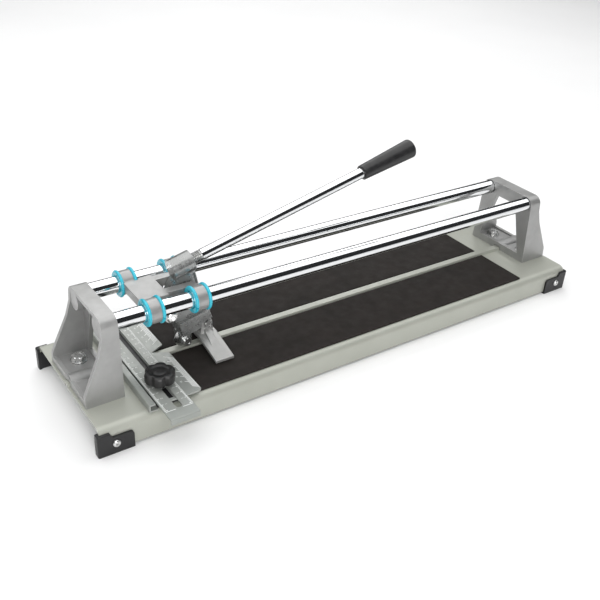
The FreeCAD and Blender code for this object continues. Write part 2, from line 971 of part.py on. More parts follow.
def make_fence_screws():
    """Countersunk screws and nuts that hold the gauge plate and its spacers."""
    nut_thick = 3.2
    foot_z = under_deck - nut_thick - 1.5
    screws, nuts = [], []
    for x in screw_lines():
        for _, side in SIDES:
            y = side * d.fence_screw_y
            head = cone("Z", d.fence_screw_radius, d.fence_screw_head, d.gauge_sheet, x, y, gauge_bottom)
            shank = rod("Z", d.fence_screw_radius, gauge_bottom - foot_z, x, y, foot_z)
            slot = box((x - 3.0, x + 3.0), (y - 0.4, y + 0.4), (gauge_top - 0.8, gauge_top))
            screws.append(cut(fuse(head, shank), slot))
            nuts.append(
                cut(
                    hexagon("Z", 7.0, nut_thick, x, y, under_deck - nut_thick),
                    rod("Z", d.fence_screw_radius, nut_thick, x, y, under_deck - nut_thick),
                )
            )
    node(group(*screws), "fence_screws")
    node(group(*nuts), "fence_nuts")


def make_ruler():
    """Slotted steel ruler with a turned-down lip at its near end."""
    body = new_body("RulerBar")
    left = -d.ruler_left
    right = left + d.ruler_width
    near = -d.ruler_near
    outline = sketch_on(body, "XY_Plane", ruler_bottom)
    draw_outline(
        outline,
        [(left, near), (right, near), (right, d.ruler_far), (left, d.ruler_far)],
    )
    pad(body, outline, d.ruler_sheet)
    lip = sketch_on(body, "XY_Plane", ruler_top)
    draw_outline(
        lip,
        [
            (left, near),
            (right, near),
            (right, near + d.ruler_sheet),
            (left, near + d.ruler_sheet),
        ],
    )
    pad(body, lip, d.ruler_lip, reverse=True)
    middle = left + d.ruler_width / 2
    round_edges(body, d.ruler_sheet * 0.8, [(middle, near, ruler_top)])
    slot = sketch_on(body, "XY_Plane", ruler_top)
    half = d.slot_width / 2
    centre = -d.slot_centre
    draw_outline(slot, slot_outline(d.slot_width, half - d.slot_near, d.slot_far - half))
    pocket(body, slot, d.ruler_sheet)
    ends = sketch_on(body, "XY_Plane", ruler_top)
    draw_circle(ends, centre, -d.slot_near + half, half)
    draw_circle(ends, centre, d.slot_far - half, half)
    pocket(body, ends, d.ruler_sheet)
    node(body, "ruler_bar")


def make_clamp():
    """Stud, washer and lobed knob that clamp the ruler."""
    x = -d.slot_centre
    y = -d.stud_y
    washer_z = ruler_top + d.slide_gap
    knob_z = washer_z + d.clamp_washer_thick + d.slide_gap
    knob_top = knob_z + d.knob_neck_high + d.knob_high
    stud_foot = gauge_bottom - d.stud_head_thick
    stud = fuse(
        rod("Z", d.stud_head, d.stud_head_thick, x, y, stud_foot),
        rod("Z", d.stud_radius, knob_top - 3.0 - stud_foot, x, y, stud_foot),
    )
    node(stud, "clamp_stud")
    washer = cut(
        rod("Z", d.clamp_washer_radius, d.clamp_washer_thick, x, y, washer_z),
        rod("Z", d.stud_radius + 0.3, d.clamp_washer_thick, x, y, washer_z),
    )
    node(washer, "clamp_washer")

    body = new_body("Knob")
    disc = sketch_on(body, "XY_Plane", d.knob_neck_high)
    draw_circle(disc, ZERO, ZERO, d.knob_disc)
    pad(body, disc, d.knob_high)
    neck = sketch_on(body, "XY_Plane")
    draw_circle(neck, ZERO, ZERO, d.knob_neck)
    pad(body, neck, d.knob_neck_high)
    lobe_sketch = sketch_on(body, "XY_Plane", d.knob_neck_high)
    draw_circle(lobe_sketch, d.knob_radius - d.knob_lobe, ZERO, d.knob_lobe)
    lobe = pad(body, lobe_sketch, d.knob_high - 1.0)
    pattern = body.newObject("PartDesign::PolarPattern", "Lobes")
    pattern.Originals = [lobe]
    pattern.Axis = (origin_part(body, "Z_Axis"), [""])
    pattern.Angle = 360
    pattern.Occurrences = 6
    body.Tip = pattern
    doc.recompute()
    bore = sketch_on(body, "XY_Plane")
    draw_circle(bore, ZERO, ZERO, d.stud_radius + 0.05)
    pocket(body, bore, d.knob_neck_high + d.knob_high - 2.0, reverse=True)
    place(body, x, y, knob_z)
    node(body, "clamp_knob")


# ---- carriage ----------------------------------------------------------------------


def ring_centres():
    return carriage_x - d.ring_spacing / 2, carriage_x + d.ring_spacing / 2


def make_carriage():
    """One casting: four rings, a cross plate, two side beams and two pivot lugs."""
    half_ring = d.ring_long / 2
    top = rail_z + d.plate_high
    low = top - d.beam_thick
    left_ring, right_ring = ring_centres()
    plate_left = carriage_x - d.plate_left
    plate_right = carriage_x - d.plate_right
    pieces = [box((plate_left, plate_right), (-d.plate_half, d.plate_half), (low, top))]
    for _, side in SIDES:
        y = side * d.rail_half_gap
        for centre in (left_ring, right_ring):
            pieces.append(rod("X", d.ring_radius, d.ring_long, centre - half_ring, y, rail_z))
        beam = span(side, d.beam_inner, d.beam_outer)
        pieces.append(box((plate_left, right_ring + half_ring), beam, (low, top)))
        link = span(side, d.beam_inner, d.plate_half)
        pieces.append(box((right_ring - half_ring, right_ring + half_ring), link, (low, top)))
        lug = span(side, d.beam_outer - d.lug_thick, d.beam_outer)
        lug_x = (pivot_x - d.lug_radius, pivot_x + d.lug_radius)
        pieces.append(box(lug_x, lug, (pivot_z, top - 1.0)))
        pieces.append(rod("Y", d.lug_radius, d.lug_thick, pivot_x, lug[0], pivot_z))
    solid = fuse(*pieces)
    bores = []
    seat = d.bush_flange + d.bush_gap
    deep = d.bush_flange_thick + d.bush_gap
    for _, side in SIDES:
        y = side * d.rail_half_gap
        for centre in (left_ring, right_ring):
            left_face = centre - half_ring
            right_face = centre + half_ring
            bores.append(rod("X", d.bush_outer, d.ring_long, left_face, y, rail_z))
            bores.append(rod("X", seat, deep, left_face - deep, y, rail_z))
            bores.append(rod("X", seat, deep, right_face, y, rail_z))
    bores.append(rod("Y", d.pivot_radius, d.beam_outer * 2, pivot_x, -d.beam_outer, pivot_z))
    node(cut(solid, *bores), "carriage_frame")


def span(side, inner, outer):
    """Limits across Y on one side of the middle."""
    return (inner, outer) if side > 0 else (-outer, -inner)


def make_bushes():
    """Eight flanged, split nylon bushes, two pressed into each ring."""
    sleeve = d.ring_long / 2 - 0.2
    for side_name, side in SIDES:
        for ring_name, centre in zip(("left", "right"), ring_centres()):
            for face_name, face in (("outer", -1), ("inner", 1)):
                body = new_body("Bush")
                flange = sketch_on(body, "YZ_Plane")
                draw_circle(flange, ZERO, ZERO, d.bush_flange)
                pad(body, flange, d.bush_flange_thick)
                round_edges(
                    body,
                    d.bush_flange_thick * 0.42,
                    [(ZERO, d.bush_flange, ZERO), (d.bush_flange_thick, d.bush_flange, ZERO)],
                )
                tube = sketch_on(body, "YZ_Plane")
                draw_circle(tube, ZERO, ZERO, d.bush_outer)
                pad(body, tube, sleeve, reverse=True)
                bore = sketch_on(body, "YZ_Plane", -sleeve)
                draw_circle(bore, ZERO, ZERO, d.rail_radius + d.bush_clear)
                pocket(body, bore, sleeve + d.bush_flange_thick, reverse=True)
                slit = sketch_on(body, "YZ_Plane", -sleeve)
                name = f"{side_name}_{ring_name}_{face_name}"
                turned = name in ("near_left_inner", "near_right_outer")
                draw_outline(slit, slit_corners(d.slit_turn if turned else ZERO, face))
                pocket(body, slit, sleeve + d.bush_flange_thick, reverse=True)
                x = centre + face * d.ring_long / 2
                turn = FreeCAD.Rotation(FreeCAD.Vector(0, 0, 1), 0 if face > 0 else 180)
                place(body, x, side * d.rail_half_gap, rail_z, turn)
                node(body, f"bush_{name}")


def slit_corners(lean, face):
    """Outline of a bush's slit, pointing down or leaning to the front by an angle."""
    half = d.bush_slit / 2
    reach = d.bush_flange * 1.2
    across = -face * sine(lean)
    down = -cosine(lean)
    return [
        (down * half, -across * half),
        (-down * half, across * half),
        (across * reach - down * half, down * reach + across * half),
        (across * reach + down * half, down * reach - across * half),
    ]


def make_pivot():
    """Bolt through both lugs and the lever, with its washers and nut."""
    reach = d.beam_outer
    washer = 1.2
    x, z = pivot_x, pivot_z
    shank = reach * 2 + washer * 2 + 7.0
    start = -reach - washer
    bolt = fuse(
        rod("Y", d.pivot_radius, shank, x, start, z),
        rod("Y", d.pivot_head, d.pivot_head_thick * 0.45, x, start - d.pivot_head_thick * 0.45, z),
        cone("Y", d.pivot_head * 0.55, d.pivot_head * 0.92, d.pivot_head_thick * 0.55,
             x, start - d.pivot_head_thick, z),
    )
    node(bolt, "pivot_bolt")
    rings = []
    for y in (-reach - washer, reach):
        rings.append(
            cut(
                rod("Y", d.pivot_head + 0.8, washer, x, y, z),
                rod("Y", d.pivot_radius, washer, x, y, z),
            )
        )
    node(group(*rings), "pivot_washers")
    nut = cut(
        hexagon("Y", d.pivot_head * 2, 6.0, x, reach + washer, z),
        rod("Y", d.pivot_radius, 6.0, x, reach + washer, z),
    )
    node(nut, "pivot_nut")


# ---- lever and what it carries -----------------------------------------------------


def lever_local(x, z):
    """A world point given along and across the lever, from its pivot."""
    along = (x - pivot_x) * cosine(d.lever_tilt) + (z - pivot_z) * sine(d.lever_tilt)
    across = (z - pivot_z) * cosine(d.lever_tilt) - (x - pivot_x) * sine(d.lever_tilt)
    return along, across


def lever_turn():
    return FreeCAD.Rotation(FreeCAD.Vector(0, -1, 0), d.lever_tilt.value)


def on_lever(thing):
    """Places a piece that was drawn from the pivot, along the lever."""
    place(thing, pivot_x, ZERO, pivot_z, lever_turn())
    thing.setExpression("Placement.Rotation.Angle", f"{d.lever_tilt.text} * 1 deg")
    return thing


def make_lever():
    """Lever casting: hub for the handle, neck, shoe, wheel ears and breaker lug."""
    wheel_u, wheel_v = lever_local(wheel_x, wheel_z)
    lug_u, lug_v = lever_local(breaker_x, breaker_z)
    body = new_body("LeverArm")
    neck = sketch_on(body, "XZ_Plane")
    eye = d.pivot_radius + 5.0
    hub_end = d.hub_start + d.hub_long
    draw_outline(
        neck,
        [
            (-eye, -eye * 0.4),
            (-eye * 0.6, eye * 0.8),
            (eye * 0.3, eye),
            (d.hub_start, d.hub_rise - d.hub_radius),
            (d.hub_start, d.hub_rise),
            (hub_end - 2.0, d.hub_rise),
            (hub_end - 2.0, d.hub_rise - d.hub_radius),
            (d.shoe_right - 1.5, d.hub_rise - d.hub_radius * 2),
            (d.shoe_right - 1.0, -d.shoe_top),
            (d.shoe_left + 1.0, -d.shoe_top),
            (-eye * 0.4, -eye),
        ],
    )
    pad(body, neck, d.lever_half * 2, midplane=True)
    boss = sketch_on(body, "XZ_Plane")
    draw_circle(boss, ZERO, ZERO, d.lever_eye)
    pad(body, boss, (d.beam_outer - d.lug_thick - d.lug_gap) * 2, midplane=True)
    shoe = sketch_on(body, "XZ_Plane")
    draw_outline(
        shoe,
        [
            (d.shoe_left, -d.shoe_foot),
            (lug_u - d.breaker_eye - 2.5, -d.shoe_foot),
            (lug_u - d.breaker_eye - 1.2, lug_v + d.breaker_eye),
            (lug_u - 2.0, lug_v + d.breaker_eye + 1.2),
            (d.shoe_right + 1.0, lug_v + d.breaker_eye + 1.2),
            (d.shoe_right, -d.shoe_top),
            (d.shoe_left + 0.8, -d.shoe_top),
        ],
    )
    pad(body, shoe, d.shoe_half * 2, midplane=True)
    hub = sketch_on(body, "YZ_Plane", d.hub_start)
    draw_circle(hub, ZERO, d.hub_rise, d.hub_radius)
    pad(body, hub, d.hub_long)
    ears = sketch_on(body, "XZ_Plane")
    draw_outline(
        ears,
        [
            (wheel_u - d.ear_radius, wheel_v),
            (wheel_u + d.ear_radius, wheel_v),
            (wheel_u + d.ear_radius + 1.0, -d.shoe_foot + 0.5),
            (wheel_u - d.ear_radius + 1.6, -d.shoe_foot + 0.5),
        ],
    )
    pad(body, ears, d.ear_outer * 2, midplane=True)
    ear_round = sketch_on(body, "XZ_Plane")
    draw_circle(ear_round, wheel_u, wheel_v, d.ear_radius)
    pad(body, ear_round, d.ear_outer * 2, midplane=True)
    gap = sketch_on(body, "XZ_Plane")
    draw_circle(gap, wheel_u, wheel_v, d.wheel_radius + 1.2)
    pocket(body, gap, d.ear_inner * 2, midplane=True)
    fork = sketch_on(body, "YZ_Plane", d.shoe_left - 1.0)
    for y in (-8.5, 0.0, 8.5):
        draw_outline(
            fork,
            [
                (y - d.fork_slot / 2, -d.shoe_foot - 1.0),
                (y + d.fork_slot / 2, -d.shoe_foot - 1.0),
                (y + d.fork_slot / 2, -d.shoe_top - 2.0),
                (y - d.fork_slot / 2, -d.shoe_top - 2.0),
            ],
        )
    pocket(body, fork, d.fork_deep, reverse=True)
    clamp_x = d.shoe_right - 3.5
    for side in (-1, 1):
        split = sketch_on(body, "XZ_Plane", side * d.lever_half)
        draw_outline(
            split,
            [
                (clamp_x - d.grip_slot / 2, d.hub_rise - d.hub_radius * 2.1),
                (clamp_x + d.grip_slot / 2, d.hub_rise - d.hub_radius * 2.1),
                (clamp_x + d.grip_slot / 2, d.hub_rise - d.hub_radius * 0.85),
                (clamp_x - d.grip_slot / 2, d.hub_rise - d.hub_radius * 0.85),
            ],
        )
        pocket(body, split, 3.0, reverse=side < 0)
    tongue = sketch_on(body, "XZ_Plane")
    draw_outline(
        tongue,
        [
            (lug_u - d.breaker_eye, lug_v),
            (lug_u + d.breaker_eye, lug_v),
            (d.shoe_right, lug_v + d.breaker_eye + 2.0),
            (lug_u - d.breaker_eye, lug_v + d.breaker_eye + 2.0),
        ],
    )
    pad(body, tongue, d.breaker_lug * 2, midplane=True)
    tongue_round = sketch_on(body, "XZ_Plane")
    draw_circle(tongue_round, lug_u, lug_v, d.breaker_eye)
    pad(body, tongue_round, d.breaker_lug * 2, midplane=True)
    bores = sketch_on(body, "XZ_Plane")
    draw_circle(bores, ZERO, ZERO, d.pivot_radius + d.pivot_clear)
    pocket(body, bores, d.beam_outer * 2, midplane=True)
    pins = sketch_on(body, "XZ_Plane")
    draw_circle(pins, wheel_u, wheel_v, d.wheel_bore)
    draw_circle(pins, lug_u, lug_v, d.breaker_bolt)
    pocket(body, pins, d.shoe_half * 2, midplane=True)
    socket = sketch_on(body, "YZ_Plane", hub_end)
    draw_circle(socket, ZERO, d.hub_rise, d.rod_root)
    pocket(body, socket, d.rod_seat)
    on_lever(body)
    node(body, "lever_arm")


def make_handle():
    """Threaded steel rod and its tapered grip."""
    seat = d.hub_start + d.hub_long - d.rod_seat
    hub_end = d.hub_start + d.hub_long
    shank_start = hub_end + d.thread_long
    rise = d.hub_rise
    rod_end = seat + d.rod_long
    steel = fuse(
        rod("X", d.rod_root, shank_start - seat, seat, ZERO, rise),
        rod("X", d.rod_radius, rod_end - shank_start, shank_start, ZERO, rise),
    )
    node(on_lever(steel), "handle_rod")
    grip_start = rod_end - d.grip_long + d.grip_cap
    body = cut(
        cone("X", d.grip_small, d.grip_large, d.grip_long, grip_start, ZERO, rise),
        rod("X", d.rod_radius, d.grip_long - d.grip_cap, grip_start, ZERO, rise),
    )
    node(on_lever(body), "grip")


def make_wheel():
    """Hard scoring wheel with a bevelled edge, on a bolt through the ears."""
    x, z = wheel_x, wheel_z
    half = d.wheel_thick / 2
    rim = 0.4
    bevel = half - rim
    hub = d.wheel_radius - bevel * 1.8
    solid = fuse(
        cone("Y", hub, d.wheel_radius, bevel, x, -half, z),
        rod("Y", d.wheel_radius, rim * 2, x, -rim, z),
        cone("Y", d.wheel_radius, hub, bevel, x, rim, z),
    )
    bore = d.wheel_bore + d.axle_clear
    node(cut(solid, rod("Y", bore, d.wheel_thick, x, -half, z)), "cutting_wheel")
    make_small_bolt("wheel_axle", "axle_nut", d.wheel_bore, x, z, d.ear_outer)


def make_small_bolt(bolt_name, nut_name, radius, x, z, reach):
    """A hexagon bolt across the lever, with a nut on the far side."""
    bolt = fuse(
        rod("Y", radius, reach * 2 + d.small_head + 1.0, x, -reach, z),
        hexagon("Y", d.small_hex, d.small_head, x, -reach - d.small_head, z),
    )
    node(bolt, bolt_name)
    nut = cut(
        hexagon("Y", d.small_hex, d.small_head, x, reach, z),
        rod("Y", radius, d.small_head, x, reach, z),
    )
    node(nut, nut_name)


def make_breaker():
    """Breaker foot: two cheeks on the lever's lug and two sloping wings."""
    cheek_in = d.breaker_lug + d.breaker_side
    cheek_out = cheek_in + d.breaker_cheek
    body = new_body("BreakerFoot")
    wings = sketch_on(body, "YZ_Plane")
    root = -d.breaker_root
    tip = -d.breaker_tip
    thick = d.breaker_plate
    draw_outline(
        wings,
        [
            (-cheek_out, root),
            (cheek_out, root),
            (d.breaker_span, tip + thick),
            (d.breaker_span, tip),
            (cheek_out, root - thick * 1.3),
            (-cheek_out, root - thick * 1.3),
            (-d.breaker_span, tip),
            (-d.breaker_span, tip + thick),
        ],
    )
    pad(body, wings, d.breaker_half * 2, midplane=True)
    ribs = sketch_on(body, "YZ_Plane")
    share = (d.rib_reach - cheek_out) / (d.breaker_span - cheek_out)
    rib_foot = root + (tip + thick - root) * share - 1.0
    draw_outline(
        ribs,
        [
            (-cheek_out, -d.rib_top),
            (cheek_out, -d.rib_top),
            (d.rib_reach, rib_foot),
            (cheek_out, root - 1.0),
            (-cheek_out, root - 1.0),
            (-d.rib_reach, rib_foot),
        ],
    )
    pad(body, ribs, d.rib_half * 2, midplane=True)
    cheeks = sketch_on(body, "XZ_Plane")
    eye = d.breaker_eye
    draw_outline(
        cheeks,
        [(-eye, ZERO), (eye, ZERO), (eye + 1.5, root - 1.0), (-eye - 1.5, root - 1.0)],
    )
    pad(body, cheeks, cheek_out * 2, midplane=True)
    eyes = sketch_on(body, "XZ_Plane")
    draw_circle(eyes, ZERO, ZERO, eye)
    pad(body, eyes, cheek_out * 2, midplane=True)
    gap = sketch_on(body, "YZ_Plane")
    draw_outline(
        gap,
        [
            (-cheek_in, root + 2.0),
            (cheek_in, root + 2.0),
            (cheek_in, eye + 1.0),
            (-cheek_in, eye + 1.0),
        ],
    )
    pocket(body, gap, eye * 4, midplane=True)
    bore = sketch_on(body, "XZ_Plane")
    draw_circle(bore, ZERO, ZERO, d.breaker_bolt + d.axle_clear)
    pocket(body, bore, cheek_out * 3, midplane=True)
    place(body, breaker_x, ZERO, breaker_z)
    node(body, "breaker_foot")
    reach = cheek_out + 0.3
    make_small_bolt("breaker_bolt", "breaker_nut", d.breaker_bolt, breaker_x, breaker_z, reach)


# ---- build, check and write --------------------------------------------------------


def check_document():
    for thing in doc.Objects:
        bad = [state for state in thing.State if state in ("Invalid", "Error")]
        if bad:
            raise RuntimeError(f"{thing.Label} failed: {bad}")
    for thing in nodes:
        if thing.Shape.isNull() or not thing.Shape.isValid():
            raise RuntimeError(f"{thing.Label} has no valid shape")
        if not thing.Shape.Solids:
            raise RuntimeError(f"{thing.Label} holds no solid")


def main():
    make_base()
    make_mats()
    make_feet()
    make_foot_screws()
    for name, turn in (("left_support", -1), ("right_support", 1)):
        make_support(name, turn)
    make_support_fasteners()
    make_rails()
    make_guide()
    make_spacers()
    make_gauge()
    make_fence_screws()
    make_ruler()
    make_clamp()
    make_carriage()
    make_bushes()
    make_pivot()
    make_lever()
    make_handle()
    make_wheel()
    make_breaker()
    doc.recompute()
    check_document()
    os.makedirs("parts", exist_ok=True)
    for thing in nodes:
        thing.Shape.exportStep(f"parts/{thing.Label}.step")
    print(f"{len(nodes)} sub-parts written")


main()
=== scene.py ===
"""A bench tile cutter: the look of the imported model, built around its fixed frame.

Every piece is in metres, in the frame's own coordinates: +X along the rails, +Y to the
back and +Z up from the floor.
"""
import json
import math

import bmesh
import bpy
from mathutils import Matrix, Vector


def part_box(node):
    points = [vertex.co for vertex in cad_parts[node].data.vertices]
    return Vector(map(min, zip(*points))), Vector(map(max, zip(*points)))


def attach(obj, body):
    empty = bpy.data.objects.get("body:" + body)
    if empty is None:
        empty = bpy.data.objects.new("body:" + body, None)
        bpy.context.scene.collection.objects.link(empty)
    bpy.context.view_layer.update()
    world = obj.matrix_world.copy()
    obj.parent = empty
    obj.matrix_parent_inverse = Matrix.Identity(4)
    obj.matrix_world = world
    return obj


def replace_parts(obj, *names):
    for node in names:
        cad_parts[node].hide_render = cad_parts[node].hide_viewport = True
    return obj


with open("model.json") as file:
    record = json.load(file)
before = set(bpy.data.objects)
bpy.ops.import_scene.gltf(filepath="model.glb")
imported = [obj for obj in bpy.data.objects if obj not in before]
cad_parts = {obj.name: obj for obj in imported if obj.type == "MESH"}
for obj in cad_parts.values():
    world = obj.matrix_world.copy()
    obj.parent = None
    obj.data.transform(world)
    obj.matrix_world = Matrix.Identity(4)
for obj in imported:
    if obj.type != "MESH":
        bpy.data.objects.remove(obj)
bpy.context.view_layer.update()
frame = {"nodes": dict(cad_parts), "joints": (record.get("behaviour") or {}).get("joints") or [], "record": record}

MM = 0.001
LEVER_TILT = math.radians(14.2)
SLIT_TURN = math.radians(78.0)
FORWARD_SLITS = ("bush_near_left_inner", "bush_near_right_outer")
BUSH_TUBE = 10.95
BUSH_BORE = 9.1
BUSH_FLANGE_THICK = 3.6
BUSH_SLIT = 1.6
FOOT_SCREW_HEAD = 2.45
PIVOT_KEY = 5.0
BLOCK_FACES = [(3, 2, 1, 0), (4, 5, 6, 7), (0, 1, 5, 4), (1, 2, 6, 5), (2, 3, 7, 6), (3, 0, 4, 7)]
scene = bpy.context.scene


# ---- materials --------------------------------------------------------------------


class Look:
    """A node material around one Principled shader."""

    def __init__(self, name, color, roughness, metallic=0.0):
        self.material = bpy.data.materials.new(name)
        self.material.use_nodes = True
        self.tree = self.material.node_tree
        self.shader = self.tree.nodes["Principled BSDF"]
        self.set("Base Color", (*color, 1.0))
        self.set("Roughness", roughness)
        self.set("Metallic", metallic)
        self.place = self.add("ShaderNodeTexCoord").outputs["Object"]
        self.height = None

    def add(self, kind, **settings):
        node = self.tree.nodes.new(kind)
        for name, value in settings.items():
            setattr(node, name, value)
        return node

    def link(self, start, end):
        self.tree.links.new(start, end)

    def set(self, socket, value):
        self.shader.inputs[socket].default_value = value
        return self

    def noise(self, size, detail=3.0, rough=0.55, stretch=(1, 1, 1)):
        """Noise whose blobs are about the given size, in millimetres."""
        mapping = self.add("ShaderNodeMapping")
        mapping.inputs["Scale"].default_value = tuple(1 / (size * MM * s) for s in stretch)
        self.link(self.place, mapping.inputs["Vector"])
        texture = self.add("ShaderNodeTexNoise")
        texture.inputs["Scale"].default_value = 1.0
        texture.inputs["Detail"].default_value = detail
        texture.inputs["Roughness"].default_value = rough
        self.link(mapping.outputs["Vector"], texture.inputs["Vector"])
        return texture.outputs["Fac"]

    def cells(self, size):
        """Rounded cells of about the given size, in millimetres."""
        texture = self.add("ShaderNodeTexVoronoi")
        texture.inputs["Scale"].default_value = 1 / (size * MM)
        self.link(self.place, texture.inputs["Vector"])
        return texture.outputs["Distance"]

    def spread(self, value, low, high, start=0.3, end=0.7):
        """Maps a texture from its usual span onto two limits."""
        span = self.add("ShaderNodeMapRange")
        span.inputs["From Min"].default_value = start
        span.inputs["From Max"].default_value = end
        span.inputs["To Min"].default_value = low
        span.inputs["To Max"].default_value = high
        self.link(value, span.inputs["Value"])
        return span.outputs["Result"]

    def tint(self, value, first, second, start=0.3, end=0.7):
        """Colour that runs between two tones with a texture."""
        mix = self.add("ShaderNodeMix", data_type="RGBA")
        self.link(self.spread(value, 0.0, 1.0, start, end), mix.inputs["Factor"])
        mix.inputs[6].default_value = (*first, 1.0)
        mix.inputs[7].default_value = (*second, 1.0)
        self.link(mix.outputs[2], self.shader.inputs["Base Color"])
        return self

    def tint_over(self, value, second, start=0.3, end=0.7):
        """Lays a second tone over the colour that is already there."""
        below = self.shader.inputs["Base Color"].links[0].from_socket
        mix = self.add("ShaderNodeMix", data_type="RGBA")
        self.link(self.spread(value, 0.0, 1.0, start, end), mix.inputs["Factor"])
        self.link(below, mix.inputs[6])
        mix.inputs[7].default_value = (*second, 1.0)
        self.link(mix.outputs[2], self.shader.inputs["Base Color"])
        return self

    def vary_roughness(self, value, low, high):
        self.link(self.spread(value, low, high), self.shader.inputs["Roughness"])
        return self

    def bump(self, value, depth, strength=1.0):
        """Adds relief of a given depth, in millimetres, over what is there."""
        bump = self.add("ShaderNodeBump")
        bump.inputs["Strength"].default_value = strength
        bump.inputs["Distance"].default_value = depth * MM
        self.link(value, bump.inputs["Height"])
        if self.height is not None:
            self.link(self.height, bump.inputs["Normal"])
        self.height = bump.outputs["Normal"]
        self.link(self.height, self.shader.inputs["Normal"])
        return self


def painted_edge_highlight(look, radius):
    """One on sharp outer edges and nought on flat faces: the mask of a painted highlight along the edges."""
    bevel = look.add("ShaderNodeBevel", samples=4)
    bevel.inputs["Radius"].default_value = radius * MM
    geometry = look.add("ShaderNodeNewGeometry")
    dot = look.add("ShaderNodeVectorMath", operation="DOT_PRODUCT")
    look.link(bevel.outputs["Normal"], dot.inputs[0])
    look.link(geometry.outputs["Normal"], dot.inputs[1])
    return look.spread(dot.outputs["Value"], 1.0, 0.0, 0.85, 0.995)


def paint_look():
    look = Look("base_enamel", (0.40, 0.41, 0.36), 0.42, 0.25)
    look.tint(look.noise(60, 4), (0.385, 0.395, 0.345), (0.425, 0.435, 0.385))
    look.tint_over(look.noise(0.35, 2), (0.46, 0.465, 0.42), 0.55, 0.8)
    look.vary_roughness(look.noise(25, 4), 0.36, 0.48)
    look.bump(look.noise(1.6, 2), 0.03, 0.35)
    look.set("Coat Weight", 0.25)
    look.set("Coat Roughness", 0.25)
    return look.material


def casting_look(name, low, high, roughness, metallic=0.6):
    """Silver coated die casting: fine sandy grain, with a painted highlight on its edges."""
    look = Look(name, low, roughness, metallic)
    look.tint(look.noise(18, 5), low, high)
    edge_highlight_tone = tuple(min(1.0, c * 1.35) for c in high)
    # Painted highlight: sharp edges are lightened towards a brighter tone.
    look.tint_over(painted_edge_highlight(look, 0.7), edge_highlight_tone, 0.0, 1.0)
    look.vary_roughness(look.noise(6, 4), roughness - 0.06, roughness + 0.08)
    look.bump(look.noise(0.5, 3, 0.7), 0.05, 0.45)
    look.bump(look.noise(9, 2), 0.12, 0.2)
    return look.material


def chrome_look(name, along):
    """Polished chrome with fine drawn lines along one axis."""
    look = Look(name, (0.80, 0.81, 0.82), 0.05, 1.0)
    stretch = tuple(40 if axis == along else 1 for axis in "XYZ")
    fine = look.noise(0.25, 2, 0.6, stretch)
    look.vary_roughness(look.noise(14, 4), 0.035, 0.09)
    look.bump(fine, 0.002, 0.25)
    return look.material


def zinc_look(name="zinc_plate", tone=0.75):
    look = Look(name, (tone, tone, tone), 0.3, 1.0)
    look.tint(look.noise(3, 4), (tone * 0.86, tone * 0.87, tone * 0.88), (tone, tone, tone * 0.97))
    look.vary_roughness(look.noise(1.2, 4), 0.2, 0.38)
    look.bump(look.noise(0.3, 2), 0.01, 0.4)
    return look.material


def rubber_look():
    """Foamed rubber sheet, near black with a warm cast and a fine pebble grain."""
    look = Look("mat_rubber", (0.016, 0.0135, 0.0125), 0.8)
    look.tint(look.noise(35, 5), (0.0125, 0.0100, 0.0085), (0.0185, 0.0145, 0.0125))
    look.tint_over(look.noise(0.5, 2), (0.030, 0.025, 0.022), 0.6, 0.8)
    look.vary_roughness(look.noise(12, 4), 0.7, 0.85)
    look.set("Specular IOR Level", 0.3)
    look.bump(look.cells(0.7), 0.12, 0.5)
    look.bump(look.noise(0.3, 3), 0.05, 0.5)
    return look.material


def plastic_look(name, color, roughness, grain=0.4, depth=0.05):
    """Moulded black plastic with a fine spark-eroded grain."""
    look = Look(name, color, roughness)
    lighter = tuple(c * 1.5 for c in color)
    look.tint(look.noise(8, 4), color, lighter)
    look.vary_roughness(look.noise(4, 3), roughness - 0.06, roughness + 0.08)
    look.bump(look.noise(grain, 2, 0.7), depth, 0.4)
    return look.material


def nylon_look():
    look = Look("bush_nylon", (0.03, 0.47, 0.60), 0.28)
    look.tint(look.noise(6, 3), (0.024, 0.44, 0.57), (0.038, 0.52, 0.66))
    look.vary_roughness(look.noise(2, 3), 0.24, 0.36)
    look.bump(look.noise(0.8, 2), 0.02, 0.3)
    look.set("Subsurface Weight", 0.15)
    look.set("Subsurface Radius", (0.0008, 0.0016, 0.002))
    look.set("Coat Weight", 0.3)
    look.set("Coat Roughness", 0.12)
    return look.material


def fence_look():
    """Light grey-green painted sheet with a soft sheen."""
    look = Look("fence_sheet", (0.33, 0.345, 0.325), 0.34, 0.3)
    look.tint(look.noise(22, 4), (0.31, 0.325, 0.305), (0.355, 0.37, 0.35))
    look.vary_roughness(look.noise(8, 4), 0.28, 0.42)
    look.bump(look.noise(0.6, 2), 0.015, 0.35)
    return look.material


def ink_look():
    look = Look("scale_ink", (0.88, 0.90, 0.88), 0.5)
    look.tint(look.noise(1.2, 3), (0.80, 0.82, 0.80), (0.94, 0.95, 0.94))
    look.bump(look.noise(0.3, 2), 0.01, 0.3)
    return look.material


def grip_look():
    look = Look("grip_rubber", (0.014, 0.014, 0.0145), 0.34)
    look.tint(look.noise(10, 4), (0.010, 0.010, 0.0105), (0.022, 0.022, 0.023))
    look.vary_roughness(look.noise(5, 4), 0.28, 0.42)
    look.bump(look.noise(0.35, 2), 0.03, 0.35)
    return look.material


def floor_look():
    look = Look("floor", (0.9, 0.9, 0.9), 0.8)
    look.tint(look.noise(400, 3), (0.89, 0.89, 0.89), (0.915, 0.915, 0.915))
    look.set("Specular IOR Level", 0.15)
    return look.material


